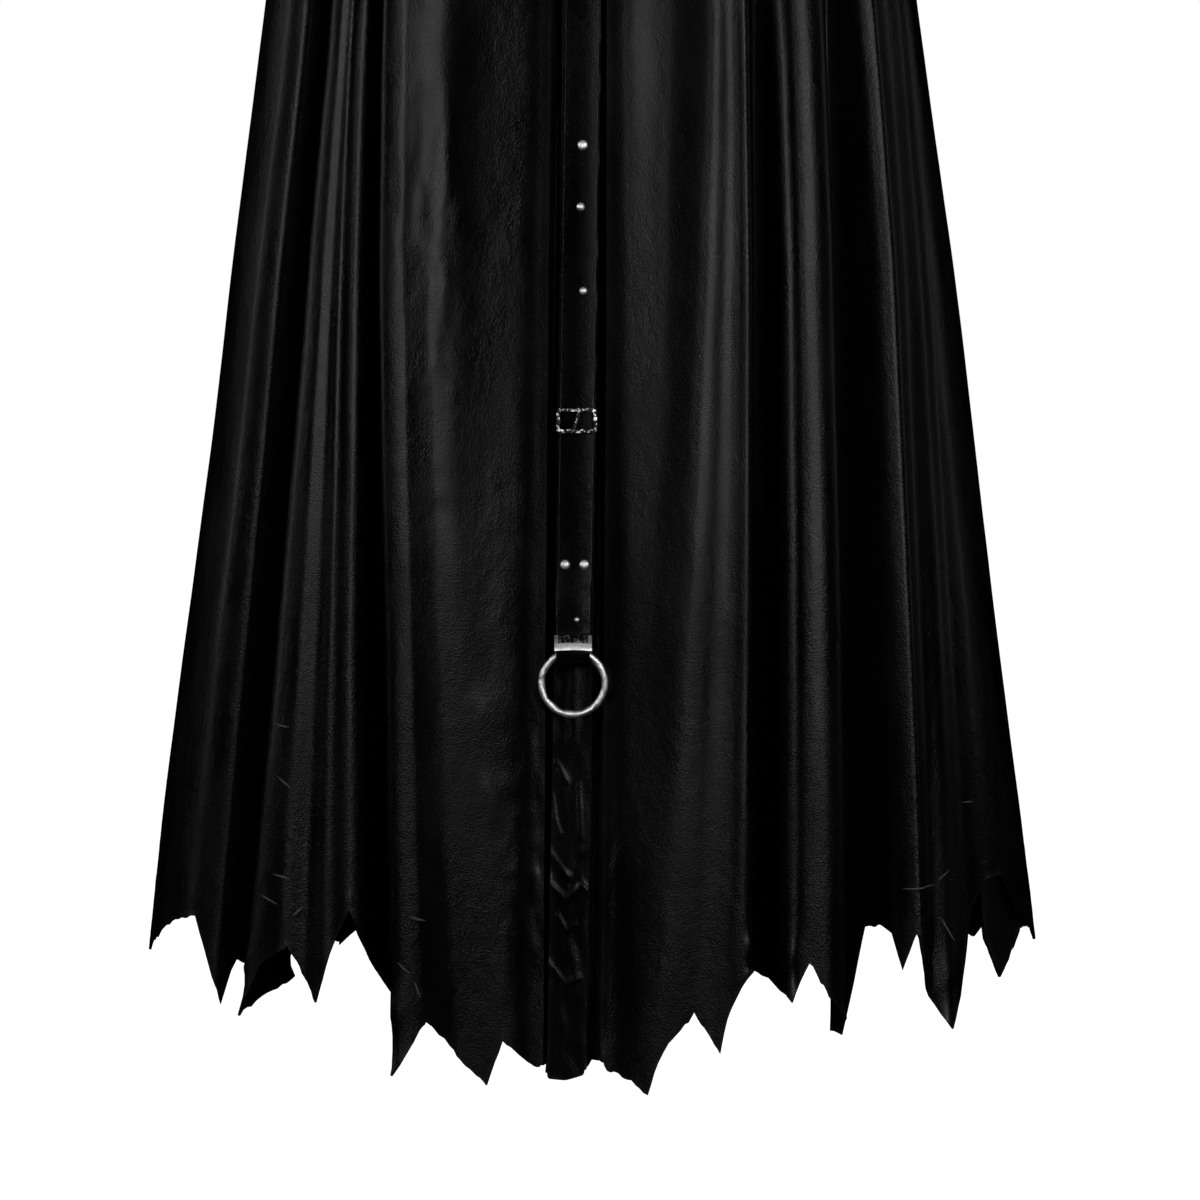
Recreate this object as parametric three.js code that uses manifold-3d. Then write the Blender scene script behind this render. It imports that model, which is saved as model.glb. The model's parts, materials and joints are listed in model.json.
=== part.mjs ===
// A long sleeveless leather armour coat: deep folds all round, and a strap with a ring down its back.
// Millimetres. +Z is up, -Y is the wearer's back, +X is the wearer's right.
// The origin is the middle of the shoulder seat, where the coat hangs on the shoulders.

import * as THREE from 'three';
import { mergeVertices } from 'three/addons/utils/BufferGeometryUtils.js';
import Module from 'manifold-3d';

const wasm = await Module();
wasm.setup();

// Driving sizes. Every height in this file is measured up from the floor that the wearer stands on.
const seatHeight = 1480;
const leather = 2.2;
const layerGap = 0.8;
const layerStep = leather + layerGap;
const bodiceHeight = 1150;
const hipHeight = 890;
const hemHeight = 250;
const skirtEnd = 290;

// Shoulders, neck and armholes.
const capStart = 1340;
const armholeBottom = 1215;
const neckHalfWidth = 78;
const neckHeight = 1497;
const shoulderSlope = 0.33;
const neckBackReach = 60;
const neckFrontReach = 86;
const shoulderSeamGap = 0.4;
const lapEnds = 1190;
const lapFull = 1060;

// The coat's outline: half width, and how far the back and the front stand out from the side seams.
const sections = [
  { height: 60, halfWidth: 368, back: 308, front: 282 },
  { height: 250, halfWidth: 346, back: 280, front: 256 },
  { height: 450, halfWidth: 320, back: 250, front: 228 },
  { height: 600, halfWidth: 301, back: 224, front: 206 },
  { height: 790, halfWidth: 277, back: 190, front: 178 },
  { height: 890, halfWidth: 262, back: 170, front: 162 },
  { height: 1080, halfWidth: 238, back: 132, front: 134 },
  { height: 1200, halfWidth: 225, back: 118, front: 126 },
  { height: 1340, halfWidth: 212, back: 116, front: 112 },
];

// How far the armhole cuts in from the side, by height, and over the cap of the shoulder.
const armholeCut = [
  { height: 1215, cut: 0 },
  { height: 1240, cut: 25 },
  { height: 1285, cut: 42 },
  { height: 1340, cut: 46 },
];
const shoulderPointCut = 10;

// Fold lines of the back, from the centre to the side: x at the hip and at the hem, and how deep the line
// lies under the outline at the bodice, the hip and the hem.
const backFoldsLeft = [
  { hip: -32, hem: -37, bodiceDepth: 2, hipDepth: 3, hemDepth: 5 },
  { hip: -50, hem: -55, bodiceDepth: 0, hipDepth: 1, hemDepth: 0 },
  { hip: -82, hem: -73, bodiceDepth: 0, hipDepth: 5, hemDepth: 3 },
  { hip: -115, hem: -97, bodiceDepth: 0, hipDepth: 0, hemDepth: 8 },
  { hip: -131, hem: -117, bodiceDepth: 0, hipDepth: 1, hemDepth: 10 },
  { hip: -148, hem: -138, bodiceDepth: 0, hipDepth: 0, hemDepth: 6 },
  { hip: -166, hem: -161, bodiceDepth: 0, hipDepth: 4, hemDepth: 10 },
  { hip: -174, hem: -177, bodiceDepth: 0, hipDepth: 30, hemDepth: 56 },
  { hip: -182, hem: -192, bodiceDepth: 0, hipDepth: 6, hemDepth: 9 },
  { hip: -187, hem: -205, bodiceDepth: 0, hipDepth: 1, hemDepth: 1 },
  { hip: -191, hem: -222, bodiceDepth: 0, hipDepth: 1, hemDepth: 5 },
  { hip: -197, hem: -241, bodiceDepth: 0, hipDepth: 0, hemDepth: 0 },
  { hip: -208, hem: -268, bodiceDepth: 0, hipDepth: 4, hemDepth: 6 },
  { hip: -219, hem: -281, bodiceDepth: 0, hipDepth: 34, hemDepth: 62 },
  { hip: -229, hem: -296, bodiceDepth: 0, hipDepth: 4, hemDepth: 8 },
  { hip: -240, hem: -316, bodiceDepth: 0, hipDepth: 0, hemDepth: 0 },
  { hip: -262, hem: -346, bodiceDepth: 0, hipDepth: 0, hemDepth: 0 },
];
const backFoldsRight = [
  { hip: 12, hem: 8, bodiceDepth: 2, hipDepth: 3, hemDepth: 6 },
  { hip: 26, hem: 19, bodiceDepth: 0, hipDepth: 0, hemDepth: 1 },
  { hip: 58, hem: 38, bodiceDepth: 0, hipDepth: 8, hemDepth: 0 },
  { hip: 94, hem: 63, bodiceDepth: 0, hipDepth: 0, hemDepth: 1 },
  { hip: 108, hem: 97, bodiceDepth: 0, hipDepth: 3, hemDepth: 9 },
  { hip: 122, hem: 126, bodiceDepth: 0, hipDepth: 1, hemDepth: 9 },
  { hip: 137, hem: 143, bodiceDepth: 0, hipDepth: 31, hemDepth: 57 },
  { hip: 153, hem: 158, bodiceDepth: 0, hipDepth: 5, hemDepth: 8 },
  { hip: 169, hem: 181, bodiceDepth: 0, hipDepth: 0, hemDepth: 0 },
  { hip: 183, hem: 199, bodiceDepth: 0, hipDepth: 2, hemDepth: 5 },
  { hip: 203, hem: 221, bodiceDepth: 0, hipDepth: 34, hemDepth: 58 },
  { hip: 217, hem: 246, bodiceDepth: 0, hipDepth: 6, hemDepth: 9 },
  { hip: 226, hem: 258, bodiceDepth: 0, hipDepth: 0, hemDepth: 0 },
  { hip: 237, hem: 268, bodiceDepth: 0, hipDepth: 5, hemDepth: 8 },
  { hip: 245, hem: 279, bodiceDepth: 0, hipDepth: 1, hemDepth: 1 },
  { hip: 250, hem: 292, bodiceDepth: 0, hipDepth: 2, hemDepth: 5 },
  { hip: 255, hem: 310, bodiceDepth: 0, hipDepth: 0, hemDepth: 0 },
  { hip: 262, hem: 346, bodiceDepth: 0, hipDepth: 0, hemDepth: 0 },
];

// Fold lines of the front, from the side to the edge of the overlap, which lies past the centre.
const frontFoldsLeft = [
  { hip: -240, hem: -322, bodiceDepth: 0, hipDepth: 8, hemDepth: 22 },
  { hip: -215, hem: -290, bodiceDepth: 0, hipDepth: 0, hemDepth: 0 },
  { hip: -183, hem: -246, bodiceDepth: 0, hipDepth: 10, hemDepth: 30 },
  { hip: -152, hem: -205, bodiceDepth: 0, hipDepth: 0, hemDepth: 0 },
  { hip: -116, hem: -156, bodiceDepth: 0, hipDepth: 8, hemDepth: 26 },
  { hip: -80, hem: -108, bodiceDepth: 0, hipDepth: 0, hemDepth: 0 },
  { hip: -30, hem: -40, bodiceDepth: 0, hipDepth: 0, hemDepth: 2 },
  { hip: 38, hem: 52, bodiceDepth: 0, hipDepth: 0, hemDepth: 2 },
];
const frontFoldsRight = [
  { hip: 240, hem: 320, bodiceDepth: 0, hipDepth: 8, hemDepth: 24 },
  { hip: 213, hem: 286, bodiceDepth: 0, hipDepth: 0, hemDepth: 0 },
  { hip: 180, hem: 240, bodiceDepth: 0, hipDepth: 10, hemDepth: 30 },
  { hip: 148, hem: 198, bodiceDepth: 0, hipDepth: 0, hemDepth: 0 },
  { hip: 114, hem: 152, bodiceDepth: 0, hipDepth: 8, hemDepth: 24 },
  { hip: 84, hem: 112, bodiceDepth: 0, hipDepth: 0, hemDepth: 2 },
  { hip: 44, hem: 60, bodiceDepth: 3, hipDepth: 3, hemDepth: 5 },
  { hip: -38, hem: -52, bodiceDepth: 3, hipDepth: 3, hemDepth: 5 },
];

// The torn hem: x and height of each tip and notch, from the centre of the back to the side.
const backHemLeft = [
  { x: -37, height: 113 }, { x: -43, height: 117 }, { x: -66, height: 136 }, { x: -81, height: 102 },
  { x: -100, height: 117 }, { x: -126, height: 148 }, { x: -135, height: 145 }, { x: -151, height: 104 },
  { x: -164, height: 171 }, { x: -178, height: 204 }, { x: -190, height: 228 }, { x: -200, height: 193 },
  { x: -215, height: 156 }, { x: -226, height: 180 }, { x: -237, height: 197 }, { x: -257, height: 183 },
  { x: -271, height: 139 }, { x: -279, height: 175 }, { x: -291, height: 142 }, { x: -312, height: 209 },
  { x: -331, height: 202 }, { x: -357, height: 158 },
];
const backHemRight = [
  { x: 8, height: 116 }, { x: 20, height: 114 }, { x: 32, height: 106 }, { x: 43, height: 95 },
  { x: 58, height: 128 }, { x: 79, height: 156 }, { x: 99, height: 123 }, { x: 106, height: 160 },
  { x: 120, height: 186 }, { x: 137, height: 176 }, { x: 153, height: 161 }, { x: 168, height: 190 },
  { x: 187, height: 157 }, { x: 195, height: 122 }, { x: 204, height: 165 }, { x: 212, height: 208 },
  { x: 231, height: 213 }, { x: 240, height: 175 }, { x: 253, height: 206 }, { x: 261, height: 179 },
  { x: 283, height: 128 }, { x: 290, height: 158 }, { x: 297, height: 216 }, { x: 310, height: 238 },
  { x: 323, height: 237 }, { x: 335, height: 206 }, { x: 357, height: 165 },
];
const frontHemLeft = [
  { x: -350, height: 178 }, { x: -334, height: 207 }, { x: -312, height: 166 }, { x: -288, height: 149 },
  { x: -262, height: 184 }, { x: -236, height: 152 }, { x: -206, height: 131 }, { x: -176, height: 165 },
  { x: -146, height: 138 }, { x: -112, height: 118 }, { x: -78, height: 146 }, { x: -44, height: 122 },
  { x: 0, height: 135 }, { x: 54, height: 119 },
];
const frontHemRight = [
  { x: 353, height: 186 }, { x: 338, height: 201 }, { x: 314, height: 161 }, { x: 288, height: 178 },
  { x: 256, height: 141 }, { x: 226, height: 169 }, { x: 196, height: 133 }, { x: 160, height: 153 },
  { x: 126, height: 124 }, { x: 88, height: 143 }, { x: 46, height: 126 }, { x: 0, height: 138 },
  { x: -54, height: 129 },
];
// The part of the right front's hem that passes under the back, where it shows through a rounded notch.
const lapHemRight = [
  { x: 303, height: 196 }, { x: 313, height: 188 }, { x: 325, height: 158 }, { x: 342, height: 190 },
];
const lapHemLeft = [{ x: -343, height: 196 }];

// The recess down the middle of the back, and the strip and straps that lie on it.
const bandHalfWidth = 14.5;
const stripCentre = { hip: -7.5, hem: -17.5 };
const bandDepth = 8;
const grooveDepth = 15;
const stripThickness = 2;
const bandCrown = 0.5;
const grooveShare = 0.55;
const marginClear = 0.12;
const stripGap = 0.6;
const stripSurface = bandDepth - stripGap - stripThickness;
const seat = 0.4;
const metalGap = 0.3;
const strapThickness = 2.6;
const strapHalfWidth = 13;
const upperStrapHalfWidth = 12.6;
const upperStrapTop = 1088;
const upperStrapShoulder = 931;
const upperStrapPoint = 911;
const upperStrapBend = 945;
const ringStrapTop = 1080;

// The ring, the fold of the strap round it, and the clamp over the fold.
const ringAxisHeight = 429;
const ringRadius = 24.25;
const ringWire = 2.75;
const ringSides = 10;
const ringSteps = 28;
const ringCentreDrop = 22.36;
const foldRadius = 5.6;
const keeperWall = 1;
const keeperFit = 0.35;
const keeperHalfWidth = strapHalfWidth + keeperFit + keeperWall;
const axisStandOff = foldRadius + strapThickness + keeperFit + keeperWall + seat;
const ringRestGap = 0.5;
const ringLean = Math.asin((axisStandOff - ringWire - ringRestGap) / (ringCentreDrop + ringRadius));

// Rivets: height up the back, sideways place on the strap, dome radius, and what the dome stands on.
const rivetRise = 2.4;
const rivetSides = 10;
const ringStrapFace = seat + strapThickness;
const upperStrapFace = 2 * ringStrapFace;
const foldedFace = axisStandOff - foldRadius + seat + strapThickness;
const rivets = [
  { height: 1064, side: 0, radius: 4.2, face: upperStrapFace },
  { height: 816, side: 1.5, radius: 4.4, face: ringStrapFace },
  { height: 769, side: 0.5, radius: 3.6, face: ringStrapFace },
  { height: 705, side: 3.5, radius: 3.4, face: ringStrapFace },
  { height: 497, side: -7.4, radius: 4.1, face: ringStrapFace },
  { height: 497, side: 7.4, radius: 4.1, face: ringStrapFace },
  { height: 455, side: 2.5, radius: 2.4, face: foldedFace },
];

// The small buckle half way down the strap.
const buckleHeight = 606;
const buckleHalfWidth = 15.6;
const buckleHalfHeight = 9.5;
const buckleBar = 2.6;
const buckleDepth = 2.4;
const buckleCorner = 4;
const prongWidth = 2.4;
const prongThickness = 1.6;
const prongFoot = -3;
const prongHead = 2.4;

// Smooth curve through rows of a table that never swings past a row.
function slopes(places, values) {
  const secants = values.slice(1).map((value, i) => (value - values[i]) / (places[i + 1] - places[i]));
  return values.map((_, i) => {
    const before = secants[i - 1];
    const after = secants[i];
    if (before === undefined) return after;
    if (after === undefined) return before;
    return before * after <= 0 ? 0 : (2 * before * after) / (before + after);
  });
}

function smooth(places, values, at) {
  const last = places.length - 1;
  let i = 0;
  while (i < last - 1 && at > places[i + 1]) i += 1;
  const span = places[i + 1] - places[i];
  const t = THREE.MathUtils.clamp((at - places[i]) / span, 0, 1);
  const slope = slopes(places, values);
  const h00 = (1 + 2 * t) * (1 - t) ** 2;
  const h10 = t * (1 - t) ** 2;
  const h01 = t * t * (3 - 2 * t);
  const h11 = t * t * (t - 1);
  return h00 * values[i] + h10 * span * slope[i] + h01 * values[i + 1] + h11 * span * slope[i + 1];
}

function column(table, key) {
  return table.map((row) => row[key]);
}

function outline(key, height) {
  return smooth(column(sections, 'height'), column(sections, key), Math.min(height, capStart));
}

const hipHalfWidth = outline('halfWidth', hipHeight);
const hemHalfWidth = outline('halfWidth', hemHeight);

// Levels of the coat from the top down. The lowest ones follow the torn hem.
const capParts = [1, 0.84, 0.58, 0.3];
const levelHeights = [1340, 1290, 1245, 1215, 1130, 1010, 890, 720, 500, skirtEnd];
const hemParts = [0.55, 1];
const levels = [
  ...capParts.map((part) => ({ height: capStart, cap: part })),
  ...levelHeights.map((height) => ({ height, cap: 0 })),
  ...hemParts.map((part) => ({ height: skirtEnd, cap: 0, hem: part })),
];

function levelHeight(level, hem) {
  return level.hem ? THREE.MathUtils.lerp(skirtEnd, hem, level.hem) : level.height;
}

// How much narrower the coat is at its armhole edge than at the side seam, at one level.
function armholeShare(level) {
  if (level.height < armholeBottom) return 1;
  const cut = smooth(column(armholeCut, 'height'), column(armholeCut, 'cut'), level.height);
  const edge = THREE.MathUtils.lerp(cut, shoulderPointCut, level.cap);
  return 1 - edge / outline('halfWidth', level.height);
}

// One side of the coat is a list of fold lines, from the centre of the back to the overlap in front.
// Each line keeps its share of the half width, so the folds spread as the skirt does.
function foldLines(backTable, frontTable) {
  const line = (row, front) => ({
    ...row, front, hipShare: row.hip / hipHalfWidth, hemShare: row.hem / hemHalfWidth,
  });
  return [...backTable.map((row) => line(row, false)), ...frontTable.map((row) => line(row, true))];
}

const leftLines = foldLines(backFoldsLeft, frontFoldsLeft);
const rightLines = foldLines(backFoldsRight, frontFoldsRight);
const leftSeam = backFoldsLeft.length - 1;
const rightSeam = backFoldsRight.length - 1;

// The wearer's right is +1 and the left is -1.
function sideOf(lines) {
  return Math.sign(lines[leftSeam].hip);
}

function hemProgress(height) {
  return THREE.MathUtils.clamp((hipHeight - height) / (hipHeight - hemHeight), 0, 1.25);
}

// Above the hip the lines near the centre run straight up, and the outer ones follow the coat's width.
function lineShare(line, height) {
  if (height <= hipHeight) return THREE.MathUtils.lerp(line.hipShare, line.hemShare, hemProgress(height));
  const straight = hipHalfWidth / outline('halfWidth', height);
  return line.hipShare * THREE.MathUtils.lerp(straight, 1, Math.abs(line.hipShare));
}

function lineAngle(line, height, sideSign) {
  const share = lineShare(line, height);
  const angle = Math.asin(THREE.MathUtils.clamp(share, -1, 1));
  return line.front ? sideSign * Math.PI - angle : angle;
}

function lineDepth(line, height) {
  if (height > hipHeight) {
    const rise = THREE.MathUtils.smoothstep(height, hipHeight, bodiceHeight);
    return THREE.MathUtils.lerp(line.hipDepth, line.bodiceDepth, rise);
  }
  return THREE.MathUtils.lerp(line.hipDepth, line.hemDepth, Math.min(hemProgress(height), 1.12));
}

// Angle round the body and depth under the outline, between the fold lines, at one height.
function skin(lines, u, height) {
  const sideSign = sideOf(lines);
  const first = THREE.MathUtils.clamp(Math.floor(u), 0, lines.length - 2);
  const angles = lines.map((line) => sideSign * lineAngle(line, height, sideSign));
  const depths = lines.map((line) => lineDepth(line, height));
  const angle = THREE.MathUtils.lerp(angles[first], angles[first + 1], u - first);
  return { angle: sideSign * angle, depth: smooth(angles, depths, angle) };
}

// The height of the shoulder line over a place x, and how far round the cap a column of the coat goes.
function shoulderLine(x) {
  return neckHeight - shoulderSlope * Math.max(Math.abs(x) - neckHalfWidth, 0);
}

function capEnd(x, reach, neckReach) {
  const inNeck = Math.abs(x) < neckHalfWidth;
  const edge = inNeck ? neckReach * Math.sqrt(1 - (x / neckHalfWidth) ** 2) : 0;
  return Math.acos(THREE.MathUtils.clamp(Math.max(edge, shoulderSeamGap) / reach, 0, 1));
}

// A point of the coat's outside: an angle round the body, a depth under the outline, and a level.
function coatPoint({ angle, depth }, level, hem) {
  const height = levelHeight(level, hem);
  const front = Math.abs(angle) > Math.PI / 2 + 1e-6;
  const halfWidth = outline('halfWidth', height);
  const reach = outline(front ? 'front' : 'back', height);
  const share = Math.sin(angle);
  const turned = Math.asin(share * (1 - (1 - armholeShare(level)) * share ** 2));
  const along = front ? Math.sign(angle) * Math.PI - turned : turned;
  const normal = new THREE.Vector2(Math.sin(along) / halfWidth, -Math.cos(along) / reach).normalize();
  const x = halfWidth * Math.sin(along);
  const y = -reach * Math.cos(along);
  if (!level.cap) return new THREE.Vector3(x - depth * normal.x, y - depth * normal.y, height - seatHeight);
  const full = capEnd(x, Math.abs(y), front ? neckFrontReach : neckBackReach);
  const turn = full * level.cap;
  const rise = (shoulderLine(x) - capStart) * Math.sin(turn);
  return new THREE.Vector3(
    x - depth * normal.x * Math.cos(turn),
    y * Math.cos(turn) - depth * normal.y * Math.cos(turn),
    capStart + rise - depth * Math.sin(turn) - seatHeight,
  );
}

// Where along the fold lines a hem point stands, from its x and height.
function findPlace(lines, point, from, to) {
  const level = { height: point.height, cap: 0 };
  const xAt = (u) => coatPoint(skin(lines, u, point.height), level).x;
  const rising = xAt(to) > xAt(from);
  let low = from;
  let high = to;
  for (let i = 0; i < 40; i += 1) {
    const middle = (low + high) / 2;
    if (xAt(middle) < point.x === rising) low = middle;
    else high = middle;
  }
  return (low + high) / 2;
}

// Columns of a panel: every fold line, steps between the lines that lie far apart, and every hem point.
// A step that would stand closer to a hem point than a sliver's width is left out.
const backStep = 26;
const frontStep = 44;
const sliver = 5;

function hemPlace(lines, u) {
  return coatPoint(skin(lines, u, hemHeight), { height: hemHeight, cap: 0 });
}

function panelColumns(lines, from, to, hem, seam) {
  const wanted = [from, to, ...hem.map((point) => point.u)];
  const kept = wanted.map((u) => hemPlace(lines, u));
  for (let i = Math.floor(from); i < to; i += 1) {
    const widest = i < seam ? backStep : frontStep;
    const steps = Math.ceil(hemPlace(lines, i).distanceTo(hemPlace(lines, i + 1)) / widest);
    for (let step = 0; step < steps; step += 1) {
      const u = i + step / steps;
      const place = hemPlace(lines, u);
      if (u > from && u < to && kept.every((other) => other.distanceTo(place) > sliver)) wanted.push(u);
    }
  }
  return wanted.sort((a, b) => a - b).filter((u, i, all) => i === 0 || u - all[i - 1] > 1e-3);
}

function hemAt(hem, u) {
  const last = hem.length - 1;
  if (u <= hem[0].u) return hem[0].height;
  if (u >= hem[last].u) return hem[last].height;
  const i = hem.findIndex((point) => point.u >= u);
  return THREE.MathUtils.mapLinear(u, hem[i - 1].u, hem[i].u, hem[i - 1].height, hem[i].height);
}

// A closed wall from a grid of points on its outside: the inside lies one thickness in along the normal.
function wallFromGrid(grid, thickness, step = 0) {
  const rows = grid.length;
  const columns = grid[0].length;
  const at = (i, j) => grid[THREE.MathUtils.clamp(i, 0, rows - 1)][THREE.MathUtils.clamp(j, 0, columns - 1)];
  const outer = [];
  const inner = [];
  for (let i = 0; i < rows; i += 1) {
    for (let j = 0; j < columns; j += 1) {
      const across = at(i, j + 1).clone().sub(at(i, j - 1)).normalize();
      const down = at(i + 1, j).clone().sub(at(i - 1, j)).normalize();
      const inward = across.cross(down).normalize();
      outer.push(at(i, j).clone().addScaledVector(inward, step));
      inner.push(at(i, j).clone().addScaledVector(inward, step + thickness));
    }
  }
  return wallBetween(outer, inner, rows, columns);
}

// The wall between two grids of points that match row by row, closed round its rim.
function wallBetween(outer, inner, rows, columns) {
  const points = [...outer, ...inner];
  const faces = [];
  const inside = rows * columns;
  const quad = (a, b, c, d) => {
    const short = points[a].distanceTo(points[c]) <= points[b].distanceTo(points[d]);
    if (short) faces.push([a, b, c], [a, c, d]);
    else faces.push([a, b, d], [b, c, d]);
  };
  for (let i = 0; i < rows - 1; i += 1) {
    for (let j = 0; j < columns - 1; j += 1) {
      const a = i * columns + j;
      const b = a + columns;
      quad(a, b, b + 1, a + 1);
      quad(inside + a, inside + a + 1, inside + b + 1, inside + b);
    }
  }
  const rim = [];
  for (let j = 0; j < columns; j += 1) rim.push(j);
  for (let i = 1; i < rows; i += 1) rim.push(i * columns + columns - 1);
  for (let j = columns - 2; j >= 0; j -= 1) rim.push((rows - 1) * columns + j);
  for (let i = rows - 2; i > 0; i -= 1) rim.push(i * columns);
  rim.forEach((a, k) => {
    const b = rim[(k + 1) % rim.length];
    faces.push([a, b, inside + b], [a, inside + b, inside + a]);
  });
  return outwardGeometry(points, faces);
}

function outwardGeometry(points, faces) {
  const volume = faces.reduce((sum, [a, b, c]) => sum + points[a].dot(points[b].clone().cross(points[c])), 0);
  const ordered = volume > 0 ? faces : faces.map(([a, b, c]) => [a, c, b]);
  const geometry = new THREE.BufferGeometry();
  geometry.setAttribute('position', new THREE.Float32BufferAttribute(points.flatMap((p) => p.toArray()), 3));
  geometry.setIndex(ordered.flat());
  return geometry;
}

// A panel of the coat between two places on a side. Its first edge may move with the level.
function panelGeometry({ lines, seam, from, to, hem, startAt, step, depthAdd }) {
  const placedHem = hem.flatMap((part) => part.points.map((point) => {
    const u = findPlace(lines, point, part.from, part.to);
    const line = Math.round(u);
    const onLine = hemPlace(lines, u).distanceTo(hemPlace(lines, line)) < sliver;
    return { u: onLine ? line : u, height: point.height };
  })).sort((a, b) => a.u - b.u);
  const columns = panelColumns(lines, from, to, placedHem.filter((p) => p.u > from && p.u < to), seam);
  const grid = levels.map((level) => {
    const start = startAt ? startAt(level) : from;
    return columns.map((base) => {
      const u = THREE.MathUtils.mapLinear(base, from, to, start, to);
      const hemLevel = hemAt(placedHem, base);
      const place = skin(lines, u, levelHeight(level, hemLevel));
      place.depth += depthAdd ? depthAdd(u) : 0;
      return coatPoint(place, level, hemLevel);
    });
  });
  if (sideOf(lines) < 0) grid.forEach((row) => row.reverse());
  return wallFromGrid(grid, leather, step);
}

// The front laps under the back below the armhole, and runs out to the side seam at the armhole.
function lapStart(seam, lap) {
  return (level) => seam + 0.001 - lap * (1 - THREE.MathUtils.smoothstep(level.height, lapFull, lapEnds));
}

const leftLap = 0.32;
const rightLap = 1.15;

function backPanel(lines, seam, hemPoints) {
  const hem = [{ points: hemPoints, from: 0, to: seam }];
  return panelGeometry({ lines, seam, from: 0, to: seam, hem, step: 0 });
}

function frontPanel(lines, seam, lap, lapHem, hemPoints, underlap) {
  const end = lines.length - 1;
  const hem = [
    { points: lapHem, from: seam - lap - 1, to: seam },
    { points: hemPoints, from: seam, to: end },
  ];
  const depthAdd = underlap ? (u) => layerStep * THREE.MathUtils.smoothstep(u, end - 4, end - 2) : null;
  return panelGeometry({
    lines, seam, from: seam - lap, to: end, hem, startAt: lapStart(seam, lap), step: layerStep, depthAdd,
  });
}

// A point on the middle line of the back, at a depth under the outline. Strip and straps are flat across it.
const centreLine = {
  front: false,
  hipShare: stripCentre.hip / hipHalfWidth,
  hemShare: stripCentre.hem / hemHalfWidth,
};

function centrePoint(level, hem, depth) {
  const height = levelHeight(level, hem);
  return coatPoint({ angle: lineAngle(centreLine, height, 1), depth }, level, hem);
}

function bandPoint(side, depth) {
  return (level, hem) => {
    const point = centrePoint(level, hem, depth);
    point.x += side;
    return point;
  };
}

// The recessed centre back: margins under both back panels, a groove each side, a flat band between.
function marginPoint(lines, u) {
  return (level, hem) => {
    const place = skin(lines, u, levelHeight(level, hem));
    place.depth += layerStep + marginClear;
    return coatPoint(place, level, hem);
  };
}

function groovePoint(lines, side) {
  return (level, hem) => {
    const edge = coatPoint({ ...skin(lines, 0, levelHeight(level, hem)), depth: grooveDepth }, level, hem);
    const band = bandPoint(side, grooveDepth)(level, hem);
    return edge.lerp(band, grooveShare);
  };
}

const centreColumns = [
  { point: marginPoint(leftLines, 0.7), hem: 130 },
  { point: marginPoint(leftLines, 0.35), hem: 122 },
  { point: marginPoint(leftLines, 0), hem: 118 },
  { point: groovePoint(leftLines, -bandHalfWidth), hem: 117 },
  { point: bandPoint(-bandHalfWidth, bandDepth + bandCrown), hem: 112 },
  { point: bandPoint(0, bandDepth), hem: 112 },
  { point: bandPoint(bandHalfWidth, bandDepth + bandCrown), hem: 114 },
  { point: groovePoint(rightLines, bandHalfWidth), hem: 120 },
  { point: marginPoint(rightLines, 0), hem: 121 },
  { point: marginPoint(rightLines, 0.4), hem: 119 },
  { point: marginPoint(rightLines, 0.8), hem: 124 },
];

function gridOf(columns, used) {
  return used.map((level) => columns.map(({ point, hem }) => point(level, hem)));
}

function centreBackPanel() {
  return wallFromGrid(gridOf(centreColumns, levels), leather);
}

const stripColumns = [
  { point: bandPoint(-bandHalfWidth, stripSurface + bandCrown), hem: 107 },
  { point: bandPoint(0, stripSurface), hem: 106 },
  { point: bandPoint(bandHalfWidth, stripSurface + bandCrown), hem: 110 },
];

function centreStrip() {
  return wallFromGrid(gridOf(stripColumns, levels), stripThickness);
}

// The strip's outside at any height, on the flat stretch between two levels.
function reachPoint(height) {
  const above = levelHeights.findLast((level) => level >= height) ?? levelHeights[0];
  const below = levelHeights.find((level) => level < height) ?? skirtEnd;
  const from = centrePoint({ height: above, cap: 0 }, undefined, stripSurface);
  const to = centrePoint({ height: below, cap: 0 }, undefined, stripSurface);
  return from.lerp(to, (above - height) / (above - below));
}

// Frame on the strip at one height: up runs along the leather, out stands away from it.
function stripFrame(height) {
  const base = reachPoint(height);
  const up = reachPoint(height + 10).sub(reachPoint(height - 10)).setX(0).normalize();
  const out = new THREE.Vector3(0, -up.z, up.y);
  return { base, up, out };
}

function onStrip(side, height, standOff) {
  const { base, out } = stripFrame(height);
  return base.clone().addScaledVector(out, standOff).add(new THREE.Vector3(side, 0, 0));
}

// The upper strap: a plain strap over the ring strap, with a pointed lower end.
function upperStrap() {
  const face = upperStrapFace;
  const sides = [
    { side: -upperStrapHalfWidth, end: upperStrapShoulder },
    { side: 0, end: upperStrapPoint },
    { side: upperStrapHalfWidth, end: upperStrapShoulder },
  ];
  const between = levelHeights.filter((height) => height < upperStrapTop && height > upperStrapBend);
  const heights = [upperStrapTop, ...between, upperStrapBend];
  const grid = heights.map((height) => sides.map(({ side }) => onStrip(side, height, face)));
  grid.push(sides.map(({ side, end }) => onStrip(side, end, face)));
  return wallFromGrid(grid, strapThickness);
}

// Side view of the ring strap near the ring, in distances up from and out from the ring's axis.
// The strap comes down, bends round the ring and goes back up behind itself.
const frontLeg = [
  { up: 59, out: seat - axisStandOff },
  { up: 51, out: -foldRadius - 1.6 },
  { up: 44, out: -foldRadius + seat },
  { up: 24, out: -foldRadius + seat },
  { up: 17, out: -foldRadius + seat },
  { up: 14, out: -4.6 },
  { up: 11, out: -2.2 },
  { up: 8, out: 1.6 },
  { up: 5, out: 4.4 },
  { up: 2.4, out: 5.4 },
  { up: 1.2, out: 5.55 },
];
const foldSteps = 8;
const backLegRows = [14, 28, 42];

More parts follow.
